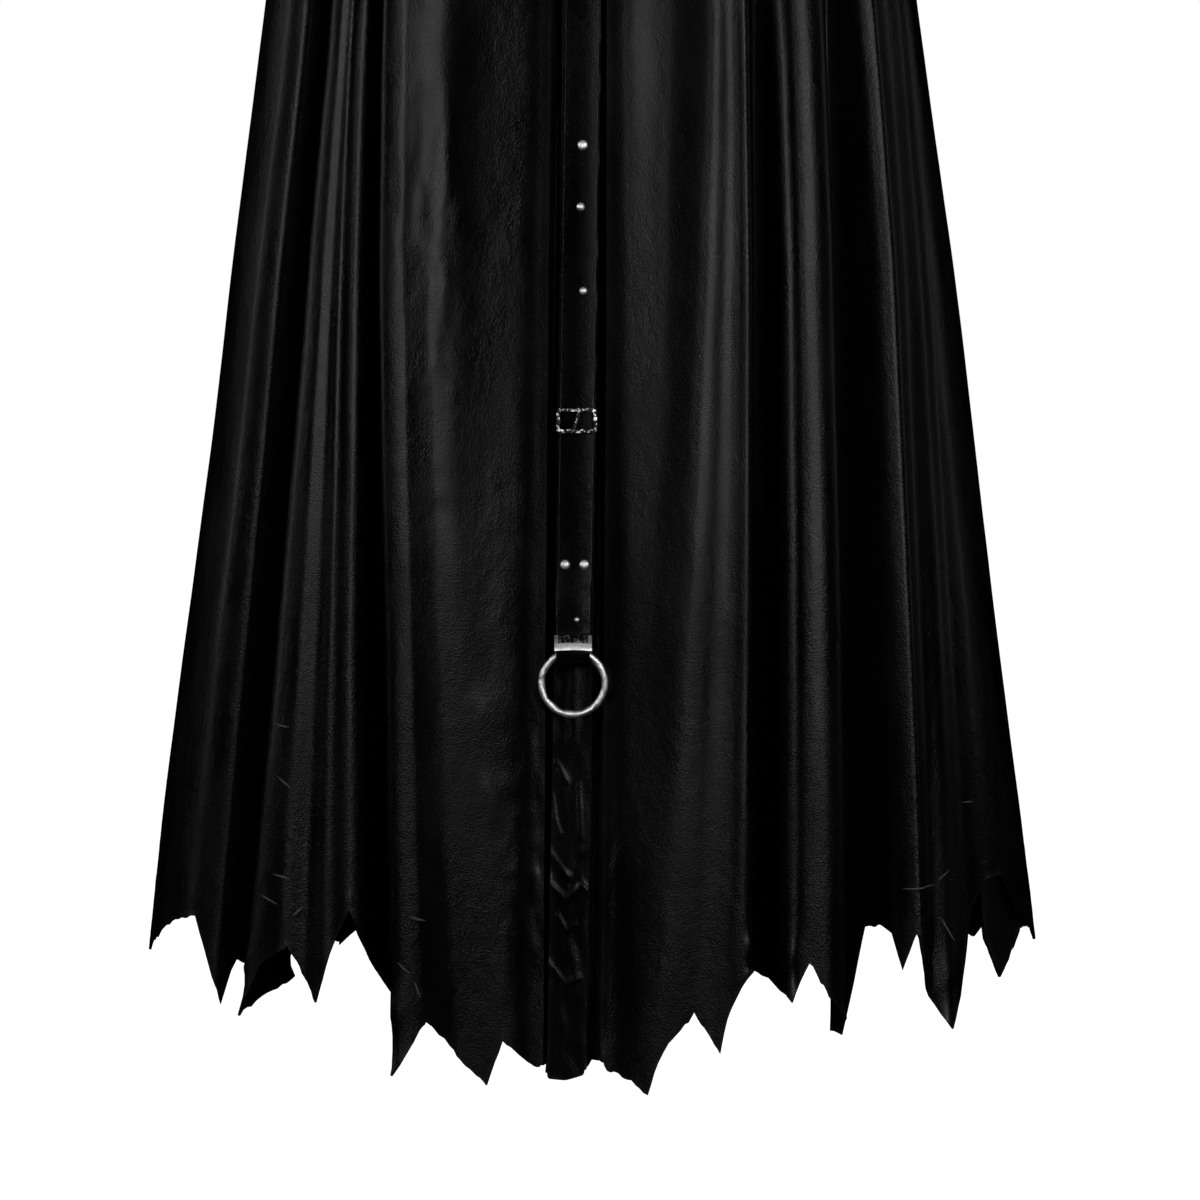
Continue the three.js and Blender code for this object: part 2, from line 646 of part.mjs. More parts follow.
function strapPath() {
  const leg = frontLeg.map((row) => new THREE.Vector2(row.up, row.out));
  const fold = Array.from({ length: foldSteps + 1 }, (_, i) => {
    const turn = (Math.PI * i) / foldSteps;
    return new THREE.Vector2(-foldRadius * Math.sin(turn), foldRadius * Math.cos(turn));
  });
  const backLeg = backLegRows.map((up) => new THREE.Vector2(up, -foldRadius));
  return [...leg, ...fold, ...backLeg];
}

// The far side of a bent strip of leather: each point moved one thickness across the path.
function offsetPath(path, distance) {
  return path.map((point, i) => {
    const next = path[Math.min(i + 1, path.length - 1)];
    const before = path[Math.max(i - 1, 0)];
    const along = next.clone().sub(before).normalize();
    return point.clone().add(new THREE.Vector2(along.y, -along.x).multiplyScalar(distance));
  });
}

// Side view turned into a solid across the strap. Place takes the side view's two distances and the x.
function acrossStrap(profile, halfWidth, place) {
  const shape = new THREE.Shape(profile);
  const geometry = new THREE.ExtrudeGeometry(shape, { depth: 2 * halfWidth, bevelEnabled: false });
  return mapped(geometry, (p) => place(p.x, p.y, p.z - halfWidth));
}

function merged(geometry) {
  geometry.deleteAttribute('normal');
  geometry.deleteAttribute('uv');
  return mergeVertices(geometry, 1e-3);
}

function mapped(geometry, place) {
  const clean = merged(geometry);
  const position = clean.getAttribute('position');
  const points = [];
  for (let i = 0; i < position.count; i += 1) {
    points.push(place(new THREE.Vector3().fromBufferAttribute(position, i)));
  }
  const index = Array.from(clean.getIndex().array);
  const faces = [];
  for (let i = 0; i < index.length; i += 3) faces.push(index.slice(i, i + 3));
  return outwardGeometry(points, faces);
}

const axisFrame = stripFrame(ringAxisHeight);
const axisPoint = onStrip(0, ringAxisHeight, axisStandOff);

function nearAxis(up, out, side) {
  return axisPoint.clone().addScaledVector(axisFrame.up, up).addScaledVector(axisFrame.out, out)
    .add(new THREE.Vector3(side, 0, 0));
}

function ringStrap() {
  const inner = strapPath();
  const outer = offsetPath(inner, strapThickness);
  const legTop = frontLeg[0].up;
  const foldTop = ringAxisHeight + legTop;
  const between = levelHeights.filter((height) => height < ringStrapTop && height > foldTop);
  const upperRows = [ringStrapTop, ...between];
  const rise = axisFrame.up.z;
  const upper = upperRows.map((height) => (height - ringAxisHeight) / rise);
  const back = seat - axisStandOff;
  const innerPath = [...upper.map((up) => new THREE.Vector2(up, back)), ...inner];
  const outerPath = [...upper.map((up) => new THREE.Vector2(up, back + strapThickness)), ...outer];
  const place = (up, out, side) => {
    if (up <= legTop) return nearAxis(up, out, side);
    return onStrip(side, ringAxisHeight + up * rise, axisStandOff + out);
  };
  const sides = [-strapHalfWidth, strapHalfWidth];
  const spread = (path) => path.flatMap((point) => sides.map((side) => place(point.x, point.y, side)));
  return wallBetween(spread(outerPath), spread(innerPath), innerPath.length, sides.length);
}

// The clamp: a plate over the front of the fold with a flared lower lip, closed round both layers above it.
const clampTop = 14.2;
const clampSidesFrom = 6.8;
const clampFirstRow = 3;
const lipThickness = 1.3;
const cutMargin = 5;
const cutHigh = 30;
const cutFar = 20;

function strapKeeper() {
  const leg = frontLeg.map((row) => new THREE.Vector2(row.up, row.out));
  const inside = offsetPath(leg, strapThickness + keeperFit).slice(clampFirstRow);
  const outside = offsetPath(leg, strapThickness + keeperFit + lipThickness).slice(clampFirstRow);
  const flat = (up, out, side) => new THREE.Vector3(up, out, side);
  const wide = [...outside, ...inside.slice().reverse()];
  const plate = solid(acrossStrap(wide, keeperHalfWidth, flat));
  const behind = seat - axisStandOff;
  const block = [
    new THREE.Vector2(clampTop, behind), new THREE.Vector2(clampTop, cutFar),
    new THREE.Vector2(clampSidesFrom, cutFar), new THREE.Vector2(clampSidesFrom, behind),
  ];
  const cutFront = cutFar + cutMargin;
  const ahead = [
    ...outside, new THREE.Vector2(-cutMargin, cutFront), new THREE.Vector2(cutHigh, cutFront),
    new THREE.Vector2(cutHigh, 0),
  ];
  const backFace = behind + keeperWall;
  const between = [...inside, new THREE.Vector2(0, backFace), new THREE.Vector2(cutHigh, backFace)];
  const band = solid(acrossStrap(block, keeperHalfWidth, flat))
    .subtract(solid(acrossStrap(ahead, keeperHalfWidth + cutMargin, flat)))
    .subtract(solid(acrossStrap(between, strapHalfWidth + keeperFit, flat)));
  const whole = band.add(plate.trimByPlane([-1, 0, 0], -clampTop));
  return mapped(fromSolid(whole), (p) => nearAxis(p.x, p.y, p.z));
}

function solid(geometry) {
  const clean = geometry.getIndex() ? geometry : merged(geometry);
  return new wasm.Manifold(new wasm.Mesh({
    numProp: 3,
    vertProperties: new Float32Array(clean.getAttribute('position').array),
    triVerts: new Uint32Array(clean.getIndex().array),
  }));
}

function fromSolid(manifold) {
  const mesh = manifold.getMesh();
  const geometry = new THREE.BufferGeometry();
  geometry.setAttribute('position', new THREE.Float32BufferAttribute(mesh.vertProperties, 3));
  geometry.setIndex(Array.from(mesh.triVerts));
  return geometry;
}

// The ring hangs from its axis in the fold and leans in until it almost lies on the strip.
function swingRing() {
  const torus = new THREE.TorusGeometry(ringRadius, ringWire, ringSides, ringSteps);
  const down = axisFrame.up.clone().multiplyScalar(-Math.cos(ringLean))
    .addScaledVector(axisFrame.out, -Math.sin(ringLean));
  const across = new THREE.Vector3(1, 0, 0);
  const out = new THREE.Vector3().crossVectors(across, down);
  const centre = axisPoint.clone().addScaledVector(down, ringCentreDrop);
  return mapped(torus, (p) => centre.clone().addScaledVector(across, p.x).addScaledVector(down, -p.y)
    .addScaledVector(out, p.z));
}

function rivetGeometry({ height, side, radius, face }) {
  const profile = [
    new THREE.Vector2(0, 0), new THREE.Vector2(radius, 0), new THREE.Vector2(radius * 0.95, rivetRise * 0.4),
    new THREE.Vector2(radius * 0.6, rivetRise * 0.88), new THREE.Vector2(0, rivetRise),
  ];
  const dome = new THREE.LatheGeometry(profile, rivetSides);
  const { up, out } = stripFrame(height);
  const base = onStrip(side, height, face + metalGap);
  return mapped(dome, (p) => base.clone().addScaledVector(up, p.z).addScaledVector(out, p.y)
    .add(new THREE.Vector3(p.x, 0, 0)));
}

function roundedFrame(shape, halfWidth, halfHeight, corner) {
  shape.moveTo(-halfWidth + corner, -halfHeight);
  shape.lineTo(halfWidth - corner, -halfHeight);
  shape.quadraticCurveTo(halfWidth, -halfHeight, halfWidth, -halfHeight + corner);
  shape.lineTo(halfWidth, halfHeight - corner);
  shape.quadraticCurveTo(halfWidth, halfHeight, halfWidth - corner, halfHeight);
  shape.lineTo(-halfWidth + corner, halfHeight);
  shape.quadraticCurveTo(-halfWidth, halfHeight, -halfWidth, halfHeight - corner);
  shape.lineTo(-halfWidth, -halfHeight + corner);
  shape.quadraticCurveTo(-halfWidth, -halfHeight, -halfWidth + corner, -halfHeight);
  return shape;
}

function onBuckle(standOff) {
  const { up, out } = stripFrame(buckleHeight);
  const base = onStrip(0, buckleHeight, ringStrapFace + standOff);
  return (p) => base.clone().addScaledVector(up, p.y).addScaledVector(out, p.z)
    .add(new THREE.Vector3(p.x, 0, 0));
}

function strapBuckle() {
  const frame = roundedFrame(new THREE.Shape(), buckleHalfWidth, buckleHalfHeight, buckleCorner);
  const halfWide = buckleHalfWidth - buckleBar;
  const halfHigh = buckleHalfHeight - buckleBar;
  frame.holes.push(roundedFrame(new THREE.Path(), halfWide, halfHigh, buckleCorner / 2));
  const options = { depth: buckleDepth, bevelEnabled: false, curveSegments: 4 };
  return mapped(new THREE.ExtrudeGeometry(frame, options), onBuckle(metalGap));
}

// The prong lies askew over the frame.
function buckleProng() {
  const foot = -buckleHalfHeight + metalGap;
  const head = buckleHalfHeight - metalGap;
  const half = prongWidth / 2;
  const shape = new THREE.Shape([
    new THREE.Vector2(prongFoot - half, foot), new THREE.Vector2(prongFoot + half, foot),
    new THREE.Vector2(prongHead + half, head - 1), new THREE.Vector2(prongHead, head),
    new THREE.Vector2(prongHead - half, head - 1),
  ]);
  const options = { depth: prongThickness, bevelEnabled: false };
  return mapped(new THREE.ExtrudeGeometry(shape, options), onBuckle(buckleDepth + 2 * metalGap));
}

// Finishes, and the coat put together.
const blackLeather = { color: 0x0b0b0d, roughness: 0.38, metalness: 0 };
const strapLeather = { color: 0x0d0d0f, roughness: 0.42, metalness: 0 };
const polishedSteel = { color: 0xd6d6d8, roughness: 0.14, metalness: 1 };

function piece(name, geometry, finish) {
  const mesh = new THREE.Mesh(geometry, new THREE.MeshStandardMaterial(finish));
  mesh.name = name;
  return mesh;
}

const coat = new THREE.Group();
coat.add(piece('back_panel_left', backPanel(leftLines, leftSeam, backHemLeft), blackLeather));
coat.add(piece('back_panel_right', backPanel(rightLines, rightSeam, backHemRight), blackLeather));
coat.add(piece('front_panel_left',
  frontPanel(leftLines, leftSeam, leftLap, lapHemLeft, frontHemLeft, false), blackLeather));
coat.add(piece('front_panel_right',
  frontPanel(rightLines, rightSeam, rightLap, lapHemRight, frontHemRight, true), blackLeather));
coat.add(piece('centre_back_panel', centreBackPanel(), blackLeather));
coat.add(piece('centre_strip', centreStrip(), strapLeather));
coat.add(piece('upper_strap', upperStrap(), strapLeather));
coat.add(piece('ring_strap', ringStrap(), strapLeather));
coat.add(piece('strap_buckle', strapBuckle(), polishedSteel));
coat.add(piece('buckle_prong', buckleProng(), polishedSteel));
coat.add(piece('strap_keeper', strapKeeper(), polishedSteel));
coat.add(piece('swing_ring', swingRing(), polishedSteel));
rivets.forEach((rivet, i) => coat.add(piece(`rivet_${i + 1}`, rivetGeometry(rivet), polishedSteel)));

export default coat;
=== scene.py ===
# %% [markdown]
# # A black leather armour coat
# The real coat is cut from heavy black leather, about 2 mm thick. It hangs from the shoulders to the
# shins in deep folds, its hem is torn into points, and a strap runs down the middle of the back to a
# steel ring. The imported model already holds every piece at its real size, so it is loaded first and
# nothing is refitted.

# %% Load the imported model
import json
import math

import bpy
import numpy as np
from mathutils import Matrix, Vector, kdtree, noise


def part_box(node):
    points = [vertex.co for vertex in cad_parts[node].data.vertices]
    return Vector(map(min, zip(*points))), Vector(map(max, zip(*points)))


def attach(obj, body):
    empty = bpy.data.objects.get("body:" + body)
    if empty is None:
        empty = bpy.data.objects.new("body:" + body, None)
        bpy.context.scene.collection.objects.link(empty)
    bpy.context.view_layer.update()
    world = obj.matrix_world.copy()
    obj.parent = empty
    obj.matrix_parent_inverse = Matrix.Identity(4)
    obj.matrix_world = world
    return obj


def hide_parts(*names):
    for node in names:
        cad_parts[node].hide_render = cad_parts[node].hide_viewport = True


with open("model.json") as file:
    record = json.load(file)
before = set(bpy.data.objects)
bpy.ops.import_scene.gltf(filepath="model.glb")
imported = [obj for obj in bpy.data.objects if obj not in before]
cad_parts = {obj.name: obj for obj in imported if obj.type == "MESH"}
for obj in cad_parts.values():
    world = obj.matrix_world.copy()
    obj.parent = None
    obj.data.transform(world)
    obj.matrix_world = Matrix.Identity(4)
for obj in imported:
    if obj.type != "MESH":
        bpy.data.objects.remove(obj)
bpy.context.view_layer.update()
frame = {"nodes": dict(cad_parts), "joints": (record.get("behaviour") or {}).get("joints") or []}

# %% [markdown]
# ## Sizes that the cells share
# Heights in this lesson are measured from the floor that the wearer stands on, because a maker measures a
# coat that way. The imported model's origin is the seat on the shoulders, so one number turns one into the
# other.

# %% Shared sizes
SEAT_HEIGHT = 1.480
LEATHER = 0.0022
GRID_ROWS = 16
SKIRT_END = 0.290


def above_floor(height):
    return height - SEAT_HEIGHT


RING_HINGE = Vector(frame["joints"][0]["pos_m"])
RING_RADIUS = 0.02425
RING_WIRE = 0.00275
ring_low, ring_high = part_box("swing_ring")
print("ring hinge:", tuple(round(value, 4) for value in RING_HINGE))

# %% [markdown]
# ## Camera
# The photograph was taken from behind the coat with a long lens, a little above the knee and looking
# slightly down. A long lens keeps the skirt's sides nearly parallel. The camera comes first, so that
# every later choice can be judged through it.

# %% Camera
CAMERA_PLACE = (0.0064, -6.0, -0.38)
CAMERA_TILT = math.radians(83.76)
CAMERA_LENS = 226.35

camera_data = bpy.data.cameras.new("camera")
camera_data.lens = CAMERA_LENS
camera_data.sensor_width = 36
camera_data.clip_end = 200
camera = bpy.data.objects.new("camera", camera_data)
camera.location = CAMERA_PLACE
camera.rotation_euler = (CAMERA_TILT, 0, 0)
bpy.context.scene.collection.objects.link(camera)
bpy.context.scene.camera = camera
print("camera at", CAMERA_PLACE)

# %% [markdown]
# ## Helpers for modelling by hand
# Operators act on whatever is selected, so each step starts from an empty selection. These few helpers
# pick a piece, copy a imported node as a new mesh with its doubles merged, and select parts of a mesh by
# their index.

# %% Selection helpers
def deselect_all():
    if bpy.context.object and bpy.context.object.mode != "OBJECT":
        bpy.ops.object.mode_set(mode="OBJECT")
    bpy.ops.object.select_all(action="DESELECT")


def pick(piece):
    deselect_all()
    piece.select_set(True)
    bpy.context.view_layer.objects.active = piece


def select_parts(piece, vertices=(), edges=(), faces=(), mode="VERT"):
    mesh = piece.data
    for group, wanted in ((mesh.vertices, vertices), (mesh.edges, edges), (mesh.polygons, faces)):
        flags = np.zeros(len(group), bool)
        flags[list(wanted)] = True
        group.foreach_set("select", flags)
    bpy.context.tool_settings.mesh_select_mode = (mode == "VERT", mode == "EDGE", mode == "FACE")


def edit(piece, operator, **settings):
    pick(piece)
    bpy.ops.object.mode_set(mode="EDIT")
    operator(**settings)
    bpy.ops.object.mode_set(mode="OBJECT")


def edit_all(piece, operator, **settings):
    pick(piece)
    bpy.ops.object.mode_set(mode="EDIT")
    bpy.ops.mesh.select_all(action="SELECT")
    operator(**settings)
    bpy.ops.object.mode_set(mode="OBJECT")


def apply_modifier(piece, kind, name="step", **settings):
    modifier = piece.modifiers.new(name, kind)
    for key, value in settings.items():
        setattr(modifier, key, value)
    pick(piece)
    bpy.ops.object.modifier_apply(modifier=modifier.name)


def copy_of(node, name):
    piece = bpy.data.objects.new(name, frame["nodes"][node].data.copy())
    bpy.context.scene.collection.objects.link(piece)
    piece.data.materials.clear()
    pick(piece)
    bpy.ops.mesh.customdata_custom_splitnormals_clear()
    edit_all(piece, bpy.ops.mesh.remove_doubles, threshold=1e-5)
    return piece


def points_of(piece):
    points = np.empty(len(piece.data.vertices) * 3)
    piece.data.vertices.foreach_get("co", points)
    return points.reshape(-1, 3)


def normals_of(piece):
    normals = np.empty(len(piece.data.vertices) * 3)
    piece.data.vertex_normals.foreach_get("vector", normals)
    return normals.reshape(-1, 3)


def move_points(piece, points):
    piece.data.vertices.foreach_set("co", points.ravel())
    piece.data.update()


# %% [markdown]
# ## From a packed wall to one skin
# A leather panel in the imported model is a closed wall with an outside, an inside and a rim. A sculptor
# works on one skin and gives it thickness last, so that both sides follow every crease. Each face of the
# rim has an edge as long as the leather is thick. Without those faces the wall falls into two skins, and
# the point that lies furthest out belongs to the outer one.

# %% Keep the outer skin
SAME_LENGTH = 0.01


def keep_outer_skin(piece, thickness):
    mesh = piece.data
    points = points_of(piece)
    links = [set() for _ in mesh.vertices]
    for face in mesh.polygons:
        lengths = [np.linalg.norm(points[a] - points[b]) for a, b in face.edge_keys]
        if any(abs(length - thickness) < SAME_LENGTH * thickness for length in lengths):
            continue
        for a, b in face.edge_keys:
            links[a].add(b)
            links[b].add(a)
    start = int(np.argmax(np.abs(points[:, 1])))
    outer = {start}
    waiting = [start]
    while waiting:
        fresh = links[waiting.pop()] - outer
        outer |= fresh
        waiting.extend(fresh)
    select_parts(piece, vertices=[i for i in range(len(points)) if i not in outer])
    edit(piece, bpy.ops.mesh.delete, type="VERT")
    print(piece.name, "skin points:", len(outer), "of", len(points))


# %% [markdown]
# ## Back to a grid of quads
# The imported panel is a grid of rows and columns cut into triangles. Subdivision gives smooth folds only
# on quads, so the grid is walked from a corner, row by row, and every edge that is neither in a row nor
# in a column is a diagonal and is dissolved.

# %% Walk the grid and dissolve the diagonals
def links_of(mesh):
    links = [set() for _ in mesh.vertices]
    for edge in mesh.edges:
        a, b = edge.vertices
        links[a].add(b)
        links[b].add(a)
    return links


def rim_loop(mesh):
    uses = {}
    for face in mesh.polygons:
        for key in face.edge_keys:
            uses[key] = uses.get(key, 0) + 1
    links = {}
    for (a, b), count in uses.items():
        if count == 1:
            links.setdefault(a, []).append(b)
            links.setdefault(b, []).append(a)
    start = min(links)
    loop = [start, links[start][0]]
    while len(loop) < len(links):
        loop.append(next(i for i in links[loop[-1]] if i != loop[-2]))
    return loop


def walk_from(loop, corner, links, row_count, column_count):
    def at(steps):
        return loop[(corner + steps) % len(loop)]

    rows = [[at(j) for j in range(column_count)]]
    used = set(rows[0])
    for i in range(1, row_count):
        row = [at(-i)]
        used.add(row[0])
        for j in range(1, column_count):
            shared = (links[row[-1]] & links[rows[-1][j]]) - used
            if len(shared) != 1:
                return None
            row.append(shared.pop())
            used.add(row[-1])
        rows.append(row)
    return rows


def grid_of(piece, row_count=GRID_ROWS):
    mesh = piece.data
    links = links_of(mesh)
    loop = rim_loop(mesh)
    column_count = len(mesh.vertices) // row_count
    for corner in range(len(loop)):
        rows = walk_from(loop, corner, links, row_count, column_count)
        if rows:
            top_first = mesh.vertices[rows[0][0]].co.z > mesh.vertices[rows[-1][0]].co.z
            return np.array(rows if top_first else rows[::-1])
    raise ValueError(piece.name + " is not a grid")


def dissolve_diagonals(piece, rows):
    place = {int(index): (i, j) for i, row in enumerate(rows) for j, index in enumerate(row)}
    diagonal = []
    for edge in piece.data.edges:
        row, column = place[edge.vertices[0]]
        other_row, other_column = place[edge.vertices[1]]
        if row != other_row and column != other_column:
            diagonal.append(edge.index)
    select_parts(piece, edges=diagonal, mode="EDGE")
    edit(piece, bpy.ops.mesh.dissolve_edges, use_verts=False)


# %% [markdown]
# ## Rows close enough to sculpt
# The grid's columns stand a few millimetres apart, but its rows up to 20 cm. Each band between two rows
# is cut by the subdivide operator until its faces are about as tall as they need to be for creases across
# the folds. Two rounds of Subdivision Surface then round the folds. That surface lies inside its control
# points, so the points are first pushed out along each row until the folds keep their real depth. The
# rounded surface passes through four parts of a point and one part of each neighbour in its row, out of
# six.

# %% Cut the bands and round the folds
PUSH_SHARE = 0.8
TURN_RANGE = 0.4


def cut_bands(piece, rows, row_height):
    corners = piece.data.vertices
    spans = []
    for upper, lower in zip(rows, rows[1:]):
        heights = [(corners[a].co - corners[b].co).length for a, b in zip(upper, lower)]
        spans.append((upper, lower, max(heights)))
    for upper, lower, tallest in spans:
        cuts = math.ceil(tallest / row_height) - 1
        if cuts < 1:
            continue
        wanted = {tuple(sorted((int(a), int(b)))) for a, b in zip(upper, lower)}
        edges = [edge.index for edge in piece.data.edges if tuple(sorted(edge.vertices)) in wanted]
        select_parts(piece, edges=edges, mode="EDGE")
        edit(piece, bpy.ops.mesh.subdivide, number_cuts=cuts)


def push_out_folds(piece, rows, rounds=3, ripple=0.0012, fold=0.004):
    points = points_of(piece)
    wanted = points[rows]
    control = wanted.copy()
    for _ in range(rounds):
        limit = control.copy()
        limit[:, 1:-1] = (control[:, :-2] + 4 * control[:, 1:-1] + control[:, 2:]) / 6
        gap = (wanted - limit)[:, :, :2]
        share = np.clip((np.linalg.norm(gap, axis=2) - ripple) / (fold - ripple), 0, 1)
        control[:, :, :2] += PUSH_SHARE * share[:, :, None] * gap
    points[rows] = control
    move_points(piece, points)


def sharpen_tips(piece, rows, least_turn=0.5):
    points = points_of(piece)
    hem = points[rows[-1]]
    crease = np.zeros(len(points))
    before = hem[1:-1] - hem[:-2]
    after = hem[2:] - hem[1:-1]
    cosine = (before * after).sum(1) / (np.linalg.norm(before, axis=1) * np.linalg.norm(after, axis=1))
    turn = np.arccos(np.clip(cosine, -1, 1))
    crease[rows[-1][1:-1]] = np.clip((turn - least_turn) / TURN_RANGE, 0, 1)
    attribute = piece.data.attributes.new("crease_vert", "FLOAT", "POINT")
    attribute.data.foreach_set("value", crease.astype(np.float32))


def rounded_skin(node, name, row_height, levels):
    piece = copy_of(node, name)
    keep_outer_skin(piece, LEATHER)
    rows = grid_of(piece)
    dissolve_diagonals(piece, rows)
    push_out_folds(piece, rows)
    sharpen_tips(piece, rows)
    cut_bands(piece, rows, row_height)
    apply_modifier(piece, "SUBSURF", levels=levels, render_levels=levels)
    return piece


# %% [markdown]
# ## Leather moves like leather
# Worn leather is never smooth: broad dents lie along the folds, puckers run across them where the skirt
# has been sat on, and small dimples cover the rest. Displacing each point of the skin along its normal by
# a few layers of stretched noise gives all three, and the creases that can be seen one by one are listed.

# %% Sculpt the skin
LAYERS = [
    {"across": 6.0, "along": 2.2, "depth": 0.0022},
    {"across": 17.0, "along": 5.0, "depth": 0.0009},
    {"across": 42.0, "along": 18.0, "depth": 0.00025},
]
PUCKERS = [
    {"x": -0.079, "height": 0.385, "wide": 0.012, "tall": 0.034, "pitch": 0.0115, "depth": 0.0011},
    {"x": -0.052, "height": 0.300, "wide": 0.022, "tall": 0.060, "pitch": 0.017, "depth": 0.0009},
    {"x": -0.128, "height": 0.640, "wide": 0.030, "tall": 0.140, "pitch": 0.020, "depth": 0.0006},
]
CRUMPLES = [
    {"x": -0.055, "height": 0.320, "wide": 0.024, "tall": 0.075, "depth": 0.0022},
    {"x": -0.040, "height": 0.235, "wide": 0.010, "tall": 0.050, "depth": 0.0026},
    {"x": 0.020, "height": 0.300, "wide": 0.014, "tall": 0.110, "depth": 0.0010},
    {"x": -0.120, "height": 0.760, "wide": 0.040, "tall": 0.110, "depth": 0.0012},
    {"x": -0.060, "height": 0.560, "wide": 0.020, "tall": 0.160, "depth": 0.0010},
]
LAYER_STEP = 11.3
LAYER_SHEET = 4.7
NEAR_ENOUGH = 0.01
PUCKER_WANDER = 2.4
PUCKER_SLANT = 38


def flat_noise(x, z, across, along, sheet):
    return noise.noise(Vector((x * across, sheet, z * along)))


def layered_depth(point):
    total = 0
    for i, layer in enumerate(LAYERS):
        place = Vector((point.x * layer["across"], point.y * layer["across"], point.z * layer["along"]))
        total += layer["depth"] * noise.noise(place + Vector((LAYER_STEP * i, LAYER_SHEET, 0)))
    return total


def nearness(point, spot):
    dx = (point.x - spot["x"]) / spot["wide"]
    dz = (point.z - above_floor(spot["height"])) / spot["tall"]
    return math.exp(-(dx * dx + dz * dz)) if point.y < 0 else 0


def local_depth(point):
    total = 0
    for pucker in PUCKERS:
        near = nearness(point, pucker)
        if near > NEAR_ENOUGH:
            wander = PUCKER_WANDER * flat_noise(point.x, point.z, across=20, along=14, sheet=3.1)
            wave = math.sin(2 * math.pi * point.z / pucker["pitch"] + PUCKER_SLANT * point.x + wander)
            total += pucker["depth"] * wave * near
    for crumple in CRUMPLES:
        near = nearness(point, crumple)
        if near > NEAR_ENOUGH:
            total += crumple["depth"] * near * flat_noise(point.x, point.z, across=95, along=60, sheet=1.7)
    return total


def sculpt(piece):
    points = points_of(piece)
    moves = np.array([layered_depth(Vector(p)) + local_depth(Vector(p)) for p in points])
    move_points(piece, points + normals_of(piece) * moves[:, None])


# %% [markdown]
# ## A torn edge
# The hem is torn, not cut, so close up its line wavers and has small nicks. Only the points near the rim
# move, up and down, by noise that is finer than the tears themselves. How close each point lies to the
# rim is kept on the mesh as an attribute, and the leather's material uses it later for wear.

# %% Rim distance and frayed hem
RIM_REACH = 0.007
HEM_TOP = SKIRT_END - 0.02
FRAY_SCALE = 120
FINE_FRAY_SCALE = 330
FINE_FRAY = 0.6
ROLL_WIDTH = 0.0032
ROLL_SIDE = 0.05
ROLL_END = 0.14


def mark_rim(piece):
    loop = rim_loop(piece.data)
    points = points_of(piece)
    tree = kdtree.KDTree(len(loop))
    for i in loop:
        tree.insert(points[i], i)
    tree.balance()
    gaps = np.array([tree.find(point)[2] for point in points])
    attribute = piece.data.attributes.new("rim", "FLOAT", "POINT")
    attribute.data.foreach_set("value", np.clip(1 - gaps / RIM_REACH, 0, 1).astype(np.float32))
    return gaps


def fray_hem(piece, gaps, reach=0.008, depth=0.0024):
    points = points_of(piece)
    for i, point in enumerate(points):
        if gaps[i] > reach or point[2] > above_floor(HEM_TOP):
            continue
        share = 1 - gaps[i] / reach
        place = Vector(point)
        ragged = noise.noise(place * FRAY_SCALE) + FINE_FRAY * noise.noise(place * FINE_FRAY_SCALE)
        points[i, 2] += depth * share * ragged
    move_points(piece, points)


def roll_inner_edge(piece, gaps, rise):
    points = points_of(piece)
    near_middle = (np.abs(points[:, 0]) < ROLL_SIDE) & (points[:, 1] < 0)
    inner = near_middle & (points[:, 2] > above_floor(ROLL_END))
    points[:, 1] -= rise * np.exp(-(gaps / ROLL_WIDTH) ** 2) * inner
    move_points(piece, points)


def give_thickness(piece, thickness):
    apply_modifier(piece, "SOLIDIFY", thickness=thickness, offset=-1, use_even_offset=False)
    pick(piece)
    bpy.ops.object.shade_smooth_by_angle(angle=math.radians(50))


# %% [markdown]
# ## The leather panels
# Two panels make the back and two the front, with a recessed panel between the two backs. All five go
# through the same steps: skin, grid, folds, creases, torn hem, thickness.

# %% Model the leather panels
PANELS = [
    {"node": "back_panel_left", "row_height": 0.045, "roll": 0.0004},
    {"node": "back_panel_right", "row_height": 0.045, "roll": 0.0016},
    {"node": "front_panel_left", "row_height": 0.060, "roll": 0},
    {"node": "front_panel_right", "row_height": 0.060, "roll": 0},
    {"node": "centre_back_panel", "row_height": 0.045, "roll": 0},
]
panels = []
for row in PANELS:
    panel = rounded_skin(row["node"], row["node"] + "_leather", row["row_height"], 2)
    sculpt(panel)
    rim_gaps = mark_rim(panel)
    fray_hem(panel, rim_gaps)
    if row["roll"]:
        roll_inner_edge(panel, rim_gaps, row["roll"])
    give_thickness(panel, LEATHER)
    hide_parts(row["node"])
    panels.append(panel)
    print(panel.name, "faces:", len(panel.data.polygons))

# %% [markdown]
# ## Materials
# Black leather is dark all through, so its look comes from gloss: a mottled wax finish, a pebbled grain
# about a millimetre across, scuffs where the folds rub and a paler torn rim. The layers are noise and
# cell textures on Object coordinates, mixed by a few small helpers.

# %% Material helpers
def new_material(name):
    material = bpy.data.materials.new(name)
    material.use_nodes = True
    material.node_tree.nodes.clear()
    return material


def link_or_set(material, socket, value):
    if isinstance(value, bpy.types.NodeSocket):
        material.node_tree.links.new(value, socket)
    else:
        socket.default_value = value


def add(material, kind, inputs=None, **settings):
    made = material.node_tree.nodes.new(kind)
    for key, value in settings.items():
        setattr(made, key, value)
    for key, value in (inputs or {}).items():
        link_or_set(material, made.inputs[key], value)
    return made


def stretched(material, scale):
    coordinates = add(material, "ShaderNodeTexCoord")
    inputs = {"Vector": coordinates.outputs["Object"], "Scale": scale}
    return add(material, "ShaderNodeMapping", inputs).outputs[0]


